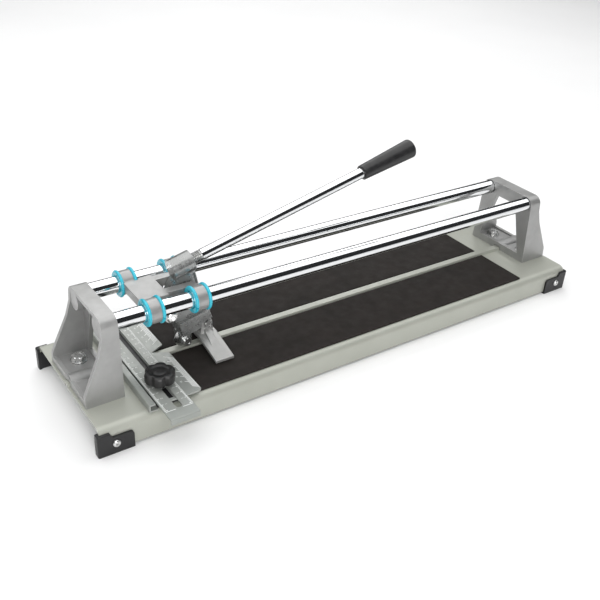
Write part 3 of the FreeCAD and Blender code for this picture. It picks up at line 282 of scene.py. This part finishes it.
PAINT = paint_look()
CASTING = casting_look("silver_casting", (0.34, 0.34, 0.335), (0.40, 0.40, 0.395), 0.38)
# Lighter copy of the silver casting for the breaker foot, whose wings sit in the shade under the rails: painted
# light that lifts that shade.
SHADE_LIFTED_CASTING = casting_look("shade_lifted_casting", (0.43, 0.43, 0.42), (0.50, 0.50, 0.49), 0.38)
DARK_CASTING = casting_look("lever_casting", (0.31, 0.315, 0.31), (0.39, 0.395, 0.39), 0.28, 0.8)
CHROME = chrome_look("rail_chrome", "X")
ZINC = zinc_look()
# Lighter copy of the zinc plate for the pivot dome and washers: a painted highlight standing in for the bright
# ring on them.
HIGHLIGHT_ZINC = zinc_look("painted_highlight_zinc", 0.9)
HARD_STEEL = zinc_look("hard_steel", 0.45)
DARK_ZINC = zinc_look("dark_zinc", 0.5)
RUBBER = rubber_look()
BLACK = plastic_look("moulded_black", (0.0065, 0.0065, 0.007), 0.4)
KNOB = plastic_look("knob_black", (0.013, 0.0125, 0.0125), 0.36, 0.5, 0.03)
NYLON = nylon_look()
FENCE = fence_look()
INK = ink_look()
GRIP = grip_look()


# ---- mesh builders ------------------------------------------------------------------


def finish_piece(piece, body, material, sharp=35):
    """Smooth shading with hard corners, and the piece's body and material."""
    mesh = piece.data
    mesh.materials.clear()
    mesh.materials.append(material)
    for polygon in mesh.polygons:
        polygon.use_smooth = True
        polygon.material_index = 0
    mesh.set_sharp_from_angle(angle=math.radians(sharp))
    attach(piece, body)
    return piece


def new_piece(name, points, faces, body, material, sharp=35):
    mesh = bpy.data.meshes.new(name)
    mesh.from_pydata([tuple(point) for point in points], [], faces)
    mesh.validate()
    piece = bpy.data.objects.new(name, mesh)
    scene.collection.objects.link(piece)
    return finish_piece(piece, body, material, sharp)


def axis_frame(origin, direction):
    """Maps local +Z onto a direction and the local origin onto a point."""
    turn = Vector(direction).to_track_quat("Z", "Y").to_matrix().to_4x4()
    return Matrix.Translation(Vector(origin)) @ turn


def rings_mesh(rings, closed_start=True, closed_end=True):
    """Points and faces of a skin over rings that have equal counts of points."""
    count = len(rings[0])
    points = [point for ring in rings for point in ring]
    faces = []
    for level in range(len(rings) - 1):
        for step in range(count):
            a = level * count + step
            b = level * count + (step + 1) % count
            faces.append((a, b, b + count, a + count))
    if closed_start:
        faces.append(tuple(reversed(range(count))))
    if closed_end:
        last = (len(rings) - 1) * count
        faces.append(tuple(range(last, last + count)))
    return points, faces


def turned(name, profile, place, body, material, steps=96, sharp=35, shape=None, bored=False):
    """A turned piece: radius and height pairs, in millimetres, about local +Z.

    shape gives the largest radius at an angle, for hexagons and lobes. A bored piece has
    a profile that closes on itself round an open hole.
    """
    rings = []
    for radius, height in profile:
        ring = []
        for step in range(steps):
            angle = math.tau * step / steps
            reach = radius if shape is None else shape(angle, radius)
            spot = Vector((math.cos(angle) * reach, math.sin(angle) * reach, height)) * MM
            ring.append(place @ spot)
        rings.append(ring)
    points, faces = rings_mesh(rings, not bored, not bored)
    if bored:
        last = (len(rings) - 1) * steps
        for step in range(steps):
            following = (step + 1) % steps
            faces.append((last + step, last + following, following, step))
    return new_piece(name, points, faces, body, material, sharp)


def joined(pieces, name):
    """Joins pieces that share a body into the first one."""
    bpy.ops.object.select_all(action="DESELECT")
    for piece in pieces:
        piece.select_set(True)
    bpy.context.view_layer.objects.active = pieces[0]
    bpy.ops.object.join()
    pieces[0].name = name
    return pieces[0]


def softened(node, width, material, segments=3, angle=30, cut=1.0):
    """The CAD piece again with its flat faces merged and its edges rounded."""
    source = frame["nodes"][node]
    mesh = source.data.copy()
    for layer in ("custom_normal", "sharp_edge", "sharp_face"):
        if layer in mesh.attributes:
            mesh.attributes.remove(mesh.attributes[layer])
    work = bmesh.new()
    work.from_mesh(mesh)
    bmesh.ops.remove_doubles(work, verts=work.verts, dist=2e-6)
    bmesh.ops.dissolve_limit(
        work, angle_limit=math.radians(cut), verts=work.verts, edges=work.edges
    )
    work.to_mesh(mesh)
    work.free()
    piece = bpy.data.objects.new(f"{node}_body", mesh)
    scene.collection.objects.link(piece)
    finish_piece(piece, body_of(node), material, angle)
    rounding = piece.modifiers.new("rounded_edges", "BEVEL")
    rounding.width = width * MM
    rounding.segments = segments
    rounding.limit_method = "ANGLE"
    rounding.angle_limit = math.radians(angle)
    rounding.harden_normals = True
    rounding.use_clamp_overlap = True
    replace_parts(piece, node)
    return piece


def body_of(node):
    for body, names in frame["record"]["behaviour"]["bodies"].items():
        if node in names:
            return body
    raise KeyError(node)


def limits(node):
    """Lowest and highest corner of a CAD piece, in millimetres."""
    low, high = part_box(node)
    return Vector(low) / MM, Vector(high) / MM


def middle(node):
    low, high = limits(node)
    return (low + high) / 2


def hexagon_shape(across):
    """Radius of a hexagon at an angle, turned down at its chamfered corners."""
    def reach(angle, radius):
        sector = (angle + math.pi / 6) % (math.pi / 3) - math.pi / 6
        return min(across / 2 / math.cos(sector), radius)
    return reach


def hex_profile(across, height, chamfer=0.13):
    """Head or nut from its bearing face up, with both ends chamfered."""
    corner = across / math.sqrt(3)
    flat = across / 2
    return [
        (flat * 0.96, 0.0),
        (corner, (corner - flat) * 0.55),
        (corner, height - (corner - flat) * 0.6),
        (flat * 0.97, height),
        (flat * 0.55, height),
        (flat * 0.5, height - across * chamfer * 0.12),
    ]


def hexagon(name, spot, direction, across, height, body, material=None):
    place = axis_frame(Vector(spot) * MM, direction)
    shape = hexagon_shape(across)
    return turned(name, hex_profile(across, height), place, body,
                  material or ZINC, 96, 25, shape)


def round_bar(name, spot, direction, radius, length, body, material, chamfer=0.5, steps=64):
    profile = [
        (radius - chamfer, 0.0),
        (radius, chamfer),
        (radius, length - chamfer),
        (radius - chamfer, length),
    ]
    return turned(name, profile, axis_frame(Vector(spot) * MM, direction), body,
                  material, steps, 30)


def threaded(name, spot, direction, radius, pitch, length, body, material, steps=48):
    """A screw thread with a real helix, faded out at both ends."""
    place = axis_frame(Vector(spot) * MM, direction)
    depth = pitch * 0.5
    levels = max(8, int(length / pitch * 10))
    rings = []
    for level in range(levels + 1):
        height = length * level / levels
        ring = []
        for step in range(steps):
            angle = math.tau * step / steps
            phase = (height / pitch - angle / math.tau) % 1.0
            ridge = abs(phase - 0.5) * 2
            fade = min(1.0, (length - height) / pitch, height / pitch + 0.2)
            reach = radius - depth * (1 - fade * (1 - ridge))
            spot_here = Vector((math.cos(angle) * reach, math.sin(angle) * reach, height)) * MM
            ring.append(place @ spot_here)
        rings.append(ring)
    points, faces = rings_mesh(rings)
    return new_piece(name, points, faces, body, material, 60)


# ---- base, mats and feet -------------------------------------------------------------


def build_base():
    softened("base_plate", 0.35, PAINT, 2, 30)
    for node in ("near_mat", "far_mat"):
        softened(node, 0.5, RUBBER, 2)
    for end in ("left", "right"):
        for side in ("near", "far"):
            softened(f"{end}_{side}_foot", 0.9, BLACK, 3, 35)
    build_foot_screws()


def build_foot_screws():
    """Pan head screws with a cross recess."""
    low, high = limits("foot_screws")
    heads = []
    for end in ("left", "right"):
        for side in ("near", "far"):
            foot_low, foot_high = limits(f"{end}_{side}_foot")
            x = low.x + 4.2 if end == "left" else high.x - 4.2
            z = (low.z + high.z) / 2
            toward = -1 if side == "near" else 1
            face = foot_low.y if side == "near" else foot_high.y
            place = axis_frame(Vector((x, face, z)) * MM, (0, toward, 0))
            profile = [
                (4.1, -0.2), (4.2, 0.5), (3.9, 1.3), (3.2, 1.95), (2.2, 2.3), (1.0, 2.42),
                (0.2, FOOT_SCREW_HEAD),
            ]
            name = f"foot_screw_{end}_{side}"
            head = turned(name, profile, place, "frame", ZINC, 64, 50)
            cut_cross(head, place, 2.3, 0.75, 1.5)
            heads.append(head)
    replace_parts(joined(heads, "foot_screw_heads"), "foot_screws")


def cut_cross(piece, place, reach, width, depth):
    """Cuts a tapered cross recess into the top of a foot screw's head."""
    cutters = []
    for turn in (math.pi / 4, -math.pi / 4):
        spin = place @ Matrix.Rotation(turn, 4, "Z")
        points = []
        for height, grow in ((FOOT_SCREW_HEAD - depth, 0.62), (3.2, 1.15)):
            for x, y in ((-1, -1), (1, -1), (1, 1), (-1, 1)):
                corner = Vector((x * reach * grow, y * width * grow / 1.5, height))
                points.append(spin @ (corner * MM))
        faces = BLOCK_FACES
        mesh = bpy.data.meshes.new("cutter")
        mesh.from_pydata([tuple(p) for p in points], [], faces)
        cutter = bpy.data.objects.new("cutter", mesh)
        scene.collection.objects.link(cutter)
        cutters.append(cutter)
    for cutter in cutters:
        carve(piece, cutter)


def box_mesh(x, y, z):
    """A plain closed block between limits in millimetres, for use as a cutter."""
    points = [(a, b, c) for c in z for b in y for a in x]
    faces = [(0, 2, 3, 1), (4, 5, 7, 6), (0, 1, 5, 4), (2, 6, 7, 3), (0, 4, 6, 2), (1, 3, 7, 5)]
    mesh = bpy.data.meshes.new("cutter")
    mesh.from_pydata([tuple(Vector(point) * MM) for point in points], [], faces)
    cutter = bpy.data.objects.new("cutter", mesh)
    scene.collection.objects.link(cutter)
    return cutter


def carve(piece, cutter):
    """Takes a closed cutter away from a piece and drops the cutter."""
    boolean = piece.modifiers.new("carve", "BOOLEAN")
    boolean.object = cutter
    boolean.operation = "DIFFERENCE"
    boolean.solver = "EXACT"
    bpy.context.view_layer.update()
    graph = bpy.context.evaluated_depsgraph_get()
    carved = bpy.data.meshes.new_from_object(piece.evaluated_get(graph))
    piece.modifiers.remove(boolean)
    piece.data = carved
    bpy.data.objects.remove(cutter)
    carved.set_sharp_from_angle(angle=math.radians(35))


# ---- supports and rails -----------------------------------------------------------------


def build_supports():
    for node in ("left_support", "right_support"):
        softened(node, 0.9, CASTING, 3, 32)
    softened("support_washers", 0.3, ZINC, 2)
    bolt_low, bolt_high = limits("support_bolts")
    _, washer_high = limits("support_washers")
    nut_low, nut_high = limits("support_nuts")
    across = 13.0
    inset = across / math.sqrt(3)
    heads, nuts = [], []
    for x in (bolt_low.x + inset, bolt_high.x - inset):
        for y in (bolt_low.y + across / 2, bolt_high.y - across / 2):
            top = washer_high.z
            heads.append(hexagon("head", (x, y, top), (0, 0, 1), across, 5.4, "frame"))
            heads.append(round_bar("shank", (x, y, bolt_low.z), (0, 0, 1), 4.0,
                                   top - bolt_low.z, "frame", ZINC))
            nuts.append(hexagon("nut", (x, y, nut_high.z), (0, 0, -1), across,
                                nut_high.z - nut_low.z, "frame"))
    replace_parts(joined(heads, "support_hex_bolts"), "support_bolts")
    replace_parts(joined(nuts, "support_hex_nuts"), "support_nuts")


def build_rails():
    for side in ("near", "far"):
        low, high = limits(f"{side}_rail")
        radius = (high.z - low.z) / 2
        centre = (low + high) / 2
        bore = radius - 2.5
        length = high.x - low.x
        place = axis_frame(Vector((low.x, centre.y, centre.z)) * MM, (1, 0, 0))
        profile = [
            (bore, 0.4), (bore, 0.0), (radius - 0.6, 0.0), (radius, 0.6),
            (radius, length - 0.6), (radius - 0.6, length), (bore, length), (bore, length - 0.4),
        ]
        rail = turned(f"{side}_rail_tube", profile, place, "frame", CHROME, 160, 30)
        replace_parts(rail, f"{side}_rail")


# ---- fence, ruler and knob ---------------------------------------------------------------


def build_fence():
    softened("guide_channel", 0.3, FENCE, 2)
    softened("gauge_plate", 0.25, FENCE, 2)
    softened("ruler_bar", 0.25, FENCE, 2)
    # The spacer is a support bar under the gauge plate, made black so that it also stands in for the shade in that
    # gap: partly a real part, partly painted shade.
    softened("fence_spacer", 0.3, BLACK, 2)
    for node in ("guide_rivets", "fence_screws", "fence_nuts"):
        softened(node, 0.15, ZINC, 2)
    build_ruler_marks()
    build_gauge_marks()


def mark_boxes(marks, height):
    """Thin raised bars on a level face: centre, half length, half width and turn."""
    points, faces = [], []
    for (x, y), along, across, turn in marks:
        direction = Vector((math.cos(turn), math.sin(turn)))
        normal = Vector((-direction.y, direction.x))
        first = len(points)
        for level in (height - 0.05, height + 0.05):
            for a, b in ((-1, -1), (1, -1), (1, 1), (-1, 1)):
                spot = Vector((x, y)) + direction * along * a + normal * across * b
                points.append(Vector((spot.x, spot.y, level)) * MM)
        faces += [tuple(first + corner for corner in face) for face in BLOCK_FACES]
    return points, faces


def numeral(text, x, y, height, size, turn):
    """A raised numeral as a mesh, lying on a level face."""
    curve = bpy.data.curves.new("numeral", "FONT")
    curve.body = text
    curve.size = size * MM
    curve.extrude = 0.05 * MM
    curve.align_x = "CENTER"
    curve.align_y = "CENTER"
    curve.resolution_u = 3
    holder = bpy.data.objects.new("numeral", curve)
    scene.collection.objects.link(holder)
    bpy.context.view_layer.update()
    graph = bpy.context.evaluated_depsgraph_get()
    mesh = bpy.data.meshes.new_from_object(holder.evaluated_get(graph))
    bpy.data.objects.remove(holder)
    mesh.transform(Matrix.Translation(Vector((x, y, height)) * MM) @ Matrix.Rotation(turn, 4, "Z"))
    piece = bpy.data.objects.new("numeral", mesh)
    scene.collection.objects.link(piece)
    return piece


def marked(name, marks, numerals, height, body):
    """One piece that holds all the ticks and numerals of a scale."""
    points, faces = mark_boxes(marks, height)
    pieces = [new_piece(name, points, faces, body, INK)]
    for text, x, y, size, turn in numerals:
        digit = numeral(text, x, y, height, size, turn)
        pieces.append(finish_piece(digit, body, INK))
    return joined(pieces, name)


def build_ruler_marks():
    """Scales along both edges of the ruler, numbered from its near end."""
    low, high = limits("ruler_bar")
    near, far = low.y + 16.0, high.y - 6.0
    marks, numerals = [], []
    for edge, inward in ((low.x, 1), (high.x, -1)):
        for step in range(int((far - near) / 2)):
            y = near + step * 2
            long = step % 5 == 0
            reach = 3.4 if long else 2.0
            marks.append(((edge + inward * (0.7 + reach / 2), y), reach / 2, 0.42, 0.0))
            if long and step > 0:
                value = str(step // 5)
                numerals.append((value, edge + inward * 7.0, y, 3.4, -math.pi / 2))
    marks.append((((low.x + high.x) / 2 - 9.5, near - 2.0), 5.5, 0.35, 0.0))
    marks.append((((low.x + high.x) / 2 + 9.5, near - 2.0), 5.5, 0.35, 0.0))
    marked("ruler_scale", marks, numerals, high.z, "ruler")


def build_gauge_marks():
    """Angle scale on the gauge: slanted ticks along its edge, a base line and numerals."""
    _, high = limits("gauge_plate")
    start, end = 20.0, 80.0
    marks, numerals = [], []
    for side in (-1, 1):
        slant = side * math.radians(38)
        for step in range(int((end - start) / 2.0)):
            y = side * (start + step * 2.0)
            long = step % 5 == 0
            reach = 11.0 if long else 7.0
            centre = (high.x - 0.9 - reach / 2 * math.cos(slant), y - reach / 2 * math.sin(slant))
            marks.append((centre, reach / 2, 0.38, slant))
            if long and step > 0:
                value = str(step // 5 * 10)
                numerals.append((value, high.x - 13.0, y - side * 8.0, 3.0, -math.pi / 2))
        middle_y = side * (start + end) / 2
        marks.append(((high.x - 0.9, middle_y), (end - start) / 2, 0.3, math.pi / 2))
    marked("gauge_scale", marks, numerals, high.z, "frame")


def build_knob():
    """Six soft lobes round a dished top, on a short neck."""
    centre = middle("clamp_knob")
    low, high = limits("clamp_knob")
    reach = (high.x - low.x) / 2
    height = high.z - low.z

    def lobes(angle, radius):
        share = max(0.0, (radius - 8.5) / (reach - 8.5))
        wave = 0.5 - 0.5 * math.cos(6 * angle)
        return radius - 2.7 * share * wave ** 3

    neck = 2.4
    profile = [(7.2, 0.0), (8.0, 0.4), (8.0, neck), (11.0, neck)]
    for step in range(9):
        angle = math.pi / 2 * step / 8
        profile.append((reach - 2.2 + 2.2 * math.sin(angle), neck + 2.2 - 2.2 * math.cos(angle)))
    for step in range(13):
        angle = math.pi / 2 * step / 12
        profile.append((reach - 3.6 + 3.6 * math.cos(angle), height - 3.6 + 3.6 * math.sin(angle)))
    profile += [
        (10.2, height - 0.15), (9.4, height - 0.7), (8.6, height - 1.3), (7.6, height - 1.5),
        (6.4, height - 1.45), (5.6, height - 1.1), (5.0, height - 0.75), (2.5, height - 0.6),
        (0.3, height - 0.55),
    ]
    place = axis_frame(Vector((centre.x, centre.y, low.z)) * MM, (0, 0, 1))
    knob = turned("clamp_knob_body", profile, place, "knob", KNOB, 210, 50, lobes)
    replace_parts(knob, "clamp_knob")
    softened("clamp_washer", 0.25, ZINC, 2)
    stud_low, stud_high = limits("clamp_stud")
    threaded("clamp_stud_thread", (centre.x, centre.y, stud_low.z + 3.0), (0, 0, 1), 2.98, 1.0,
             stud_high.z - stud_low.z - 3.2, "frame", ZINC)
    softened("clamp_stud", 0.2, ZINC, 2)


# ---- carriage and lever ------------------------------------------------------------------


def build_carriage():
    softened("carriage_frame", 0.9, CASTING, 3, 32)
    for side in ("near", "far"):
        for ring in ("left", "right"):
            for face, toward in (("outer", -1), ("inner", 1)):
                build_bush(f"bush_{side}_{ring}_{face}", middle(f"{side}_rail"), toward)
    # The pivot washers take the lighter zinc copy, a painted highlight.
    softened("pivot_washers", 0.25, HIGHLIGHT_ZINC, 2)
    build_pivot()


def build_bush(node, rail, toward):
    """Split nylon bush with a fully rounded flange and a short sleeve."""
    low, high = limits(node)
    flange = (high.y - low.y) / 2
    thick = BUSH_FLANGE_THICK
    sleeve = high.x - low.x - thick
    face = high.x - thick if toward > 0 else low.x + thick
    bore = BUSH_BORE
    place = axis_frame(Vector((face, rail.y, rail.z)) * MM, (toward, 0, 0))
    profile = [
        (bore, 0.2 - sleeve), (bore + 0.2, -sleeve), (BUSH_TUBE - 0.25, -sleeve),
        (BUSH_TUBE, 0.3 - sleeve), (BUSH_TUBE, 0.0),
    ]
    corner = thick / 2 - 0.02
    for step in range(17):
        angle = math.pi * step / 16 - math.pi / 2
        profile.append((flange - corner + corner * math.cos(angle), thick / 2 + corner * math.sin(angle)))
    for step in range(7):
        angle = math.pi / 2 * step / 6
        profile.append((bore + 1.3 - 1.3 * math.sin(angle), thick - 1.3 + 1.3 * math.cos(angle)))
    ring = turned(f"{node}_ring", profile, place, "carriage", NYLON, 112, 45, bored=True)
    half = BUSH_SLIT / 2
    slit = box_mesh((face - 12, face + 12), (rail.y - half, rail.y + half), (rail.z - 20, rail.z - 4))
    if node in FORWARD_SLITS:
        centre = Matrix.Translation(Vector((face, rail.y, rail.z)) * MM)
        slit.data.transform(centre @ Matrix.Rotation(-SLIT_TURN, 4, "X") @ centre.inverted())
    carve(ring, slit)
    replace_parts(ring, node)


def build_pivot():
    """Domed bolt with a hexagon socket through the lugs, and its nut."""
    _, high = limits("pivot_bolt")
    centre = middle("pivot_washers")
    washer_low, _ = limits("pivot_washers")
    face = washer_low.y
    place = axis_frame(Vector((centre.x, face, centre.z)) * MM, (0, -1, 0))
    profile = [(6.2, 0.0), (6.6, 0.4), (6.6, 1.4), (6.2, 2.2), (5.3, 3.0), (4.3, 3.45), (3.4, 3.6)]
    # The dome takes the lighter zinc copy, a painted highlight.
    dome = turned("dome", profile, place, "carriage", HIGHLIGHT_ZINC, 96, 40)
    socket_shape = hexagon_shape(PIVOT_KEY)
    socket_profile = [(9.0, 1.3), (9.0, 4.5)]
    socket = turned("socket", socket_profile, place, "carriage", ZINC, 96, 30,
                    socket_shape)
    carve(dome, socket)
    shank = round_bar("shank", (centre.x, face, centre.z), (0, 1, 0), 4.0, high.y - face - 4.5,
                      "carriage", ZINC)
    tip = threaded("tip", (centre.x, high.y - 5.0, centre.z), (0, 1, 0), 4.0, 1.25, 5.0,
                   "carriage", ZINC)
    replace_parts(joined([dome, shank, tip], "pivot_dome_bolt"), "pivot_bolt")
    nut_low, nut_high = limits("pivot_nut")
    nut = hexagon("pivot_hex_nut", (centre.x, nut_low.y, centre.z), (0, 1, 0),
                  nut_high.z - nut_low.z, nut_high.y - nut_low.y, "carriage")
    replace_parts(nut, "pivot_nut")


def build_lever():
    softened("lever_arm", 0.8, DARK_CASTING, 3, 32)
    # The breaker foot takes the lighter casting copy: painted light over the shade under the rails.
    softened("breaker_foot", 0.7, SHADE_LIFTED_CASTING, 3, 32)
    build_small_bolt("wheel_axle", "axle_nut", "lever")
    build_small_bolt("breaker_bolt", "breaker_nut", "lever")
    build_handle()
    build_wheel()


def build_small_bolt(bolt, nut, body):
    low, high = limits(bolt)
    nut_low, nut_high = limits(nut)
    across = high.z - low.z
    x, z = (low.x + high.x) / 2, (low.z + high.z) / 2
    head_high = nut_high.y - nut_low.y
    face = low.y + head_high
    head = hexagon("head", (x, face, z), (0, -1, 0), across, head_high, body)
    shank = round_bar("shank", (x, face, z), (0, 1, 0), 3.0, nut_high.y - face, body,
                      ZINC)
    tip = threaded("tip", (x, nut_high.y - 0.5, z), (0, 1, 0), 3.0, 1.0, high.y - nut_high.y + 0.5,
                   body, ZINC)
    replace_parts(joined([head, shank, tip], f"{bolt}_hex"), bolt)
    piece = hexagon(f"{nut}_hex", (x, nut_low.y, z), (0, 1, 0), across, head_high, body)
    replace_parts(piece, nut)


def lever_axis():
    """Point where the handle's axis meets the pivot's foot, and its direction."""
    pivot = next(j for j in frame["joints"] if j["name"] == "lever_hinge")["pos_m"]
    along = Vector((math.cos(LEVER_TILT), 0, math.sin(LEVER_TILT)))
    across = Vector((-math.sin(LEVER_TILT), 0, math.cos(LEVER_TILT)))
    return Vector(pivot), along, across


def on_handle(distance, rise=39.2):
    pivot, along, across = lever_axis()
    return (pivot + along * distance * MM + across * rise * MM) / MM


def build_handle():
    _, along, _ = lever_axis()
    hub_end = 44.8
    thread_long = 12.0
    rod_end = 342.9
    start = hub_end + thread_long
    rod = round_bar("rod", on_handle(start - 1.0), along, 6.3, rod_end - start, "lever",
                    CHROME, 1.2, 128)
    thread = threaded("thread", on_handle(hub_end - 4.0), along, 6.5, 2.0, thread_long + 4.0,
                      "lever", DARK_ZINC, 64)
    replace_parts(joined([rod, thread], "handle_steel"), "handle_rod")
    grip_start = 271.7
    grip_long = 74.2
    grip_profile = [(6.3, 0.0), (8.0, 0.0), (8.6, 0.5), (8.75, 1.4)]
    for step in range(41):
        share = step / 40
        grip_profile.append((8.7 + 2.55 * share, 2.0 + (grip_long - 5.4) * share))
    for step in range(1, 9):
        angle = math.pi / 2 * step / 8
        radius = 11.25 - 2.6 * (1 - math.cos(angle))
        grip_profile.append((radius, grip_long - 3.2 + 3.1 * math.sin(angle)))
    grip_profile.append((0.3, grip_long))
    place = axis_frame(on_handle(grip_start) * MM, along)
    grip = turned("grip_body", grip_profile, place, "lever", GRIP, 128, 40)
    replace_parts(grip, "grip")


def build_wheel():
    low, high = limits("cutting_wheel")
    centre = middle("cutting_wheel")
    radius = (high.z - low.z) / 2
    half = (high.y - low.y) / 2
    profile = [
        (3.05, 0.0), (5.6, 0.0), (5.6, 0.5), (7.2, 0.5), (radius - 0.35, half - 0.25),
        (radius, half - 0.08), (radius, half + 0.08), (radius - 0.35, half + 0.25),
        (7.2, half * 2 - 0.5), (5.6, half * 2 - 0.5), (5.6, half * 2), (3.05, half * 2),
    ]
    place = axis_frame(Vector((centre.x, low.y, centre.z)) * MM, (0, 1, 0))
    wheel = turned("scoring_wheel", profile, place, "wheel", HARD_STEEL, 128, 25)
    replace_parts(wheel, "cutting_wheel")


# ---- stage -------------------------------------------------------------------------------


def build_stage():
    """Pale floor, an overhead panel, a front panel, one for the far floor, and a dim room."""
    size = 6.0
    mesh = bpy.data.meshes.new("floor")
    corners = [(-size, -size, 0), (size, -size, 0), (size, size, 0), (-size, size, 0)]
    mesh.from_pydata(corners, [], [(0, 1, 2, 3)])
    mesh.materials.append(floor_look())
    floor = bpy.data.objects.new("floor", mesh)
    scene.collection.objects.link(floor)

    softbox("overhead", (0.0, 0.57, 1.5), (0.0, 0.57, 0.0), (4.0, 2.9), 60)
    softbox("front", (-0.95, -2.3, 1.2), (0.0, 0.0, 0.0), (1.2, 1.6), 46)
    softbox("far_floor", (1.6, 2.8, 2.0), (1.6, 2.8, 0.0), (2.4, 1.6), 26)

    world = bpy.data.worlds.new("room")
    world.use_nodes = True
    scene.world = world
    background = world.node_tree.nodes["Background"]
    background.inputs["Color"].default_value = (0.9, 0.95, 1.0, 1.0)
    background.inputs["Strength"].default_value = 0.03
    scene.view_settings.view_transform = "Standard"


def softbox(name, spot, target, size, power):
    """A square-on panel of light at a point, turned to face another point."""
    light = bpy.data.lights.new(name, "AREA")
    light.shape = "RECTANGLE"
    light.size, light.size_y = size
    light.energy = power
    holder = bpy.data.objects.new(name, light)
    holder.location = spot
    aim = Vector(target) - Vector(spot)
    holder.rotation_euler = aim.to_track_quat("-Z", "Y").to_euler()
    scene.collection.objects.link(holder)


def build_camera():
    """A 49 mm lens above the near left corner, looking along the rails."""
    camera = bpy.data.cameras.new("camera")
    camera.sensor_width = 36.0
    camera.lens = 49.46
    camera.clip_start = 0.01
    camera.clip_end = 50.0
    holder = bpy.data.objects.new("camera", camera)
    scene.collection.objects.link(holder)
    forward = Vector((0.50102503, 0.68979885, -0.52263894)).normalized()
    right = Vector((0.82676545, -0.56000041, 0.05346435)).normalized()
    up = right.cross(forward)
    turn = Matrix((right, up, -forward)).transposed().to_4x4()
    holder.matrix_world = Matrix.Translation((-0.538605, -0.679786, 0.561691)) @ turn
    scene.camera = holder


def main():
    build_camera()
    build_stage()
    build_base()
    build_supports()
    build_rails()
    build_fence()
    build_knob()
    build_carriage()
    build_lever()


main()
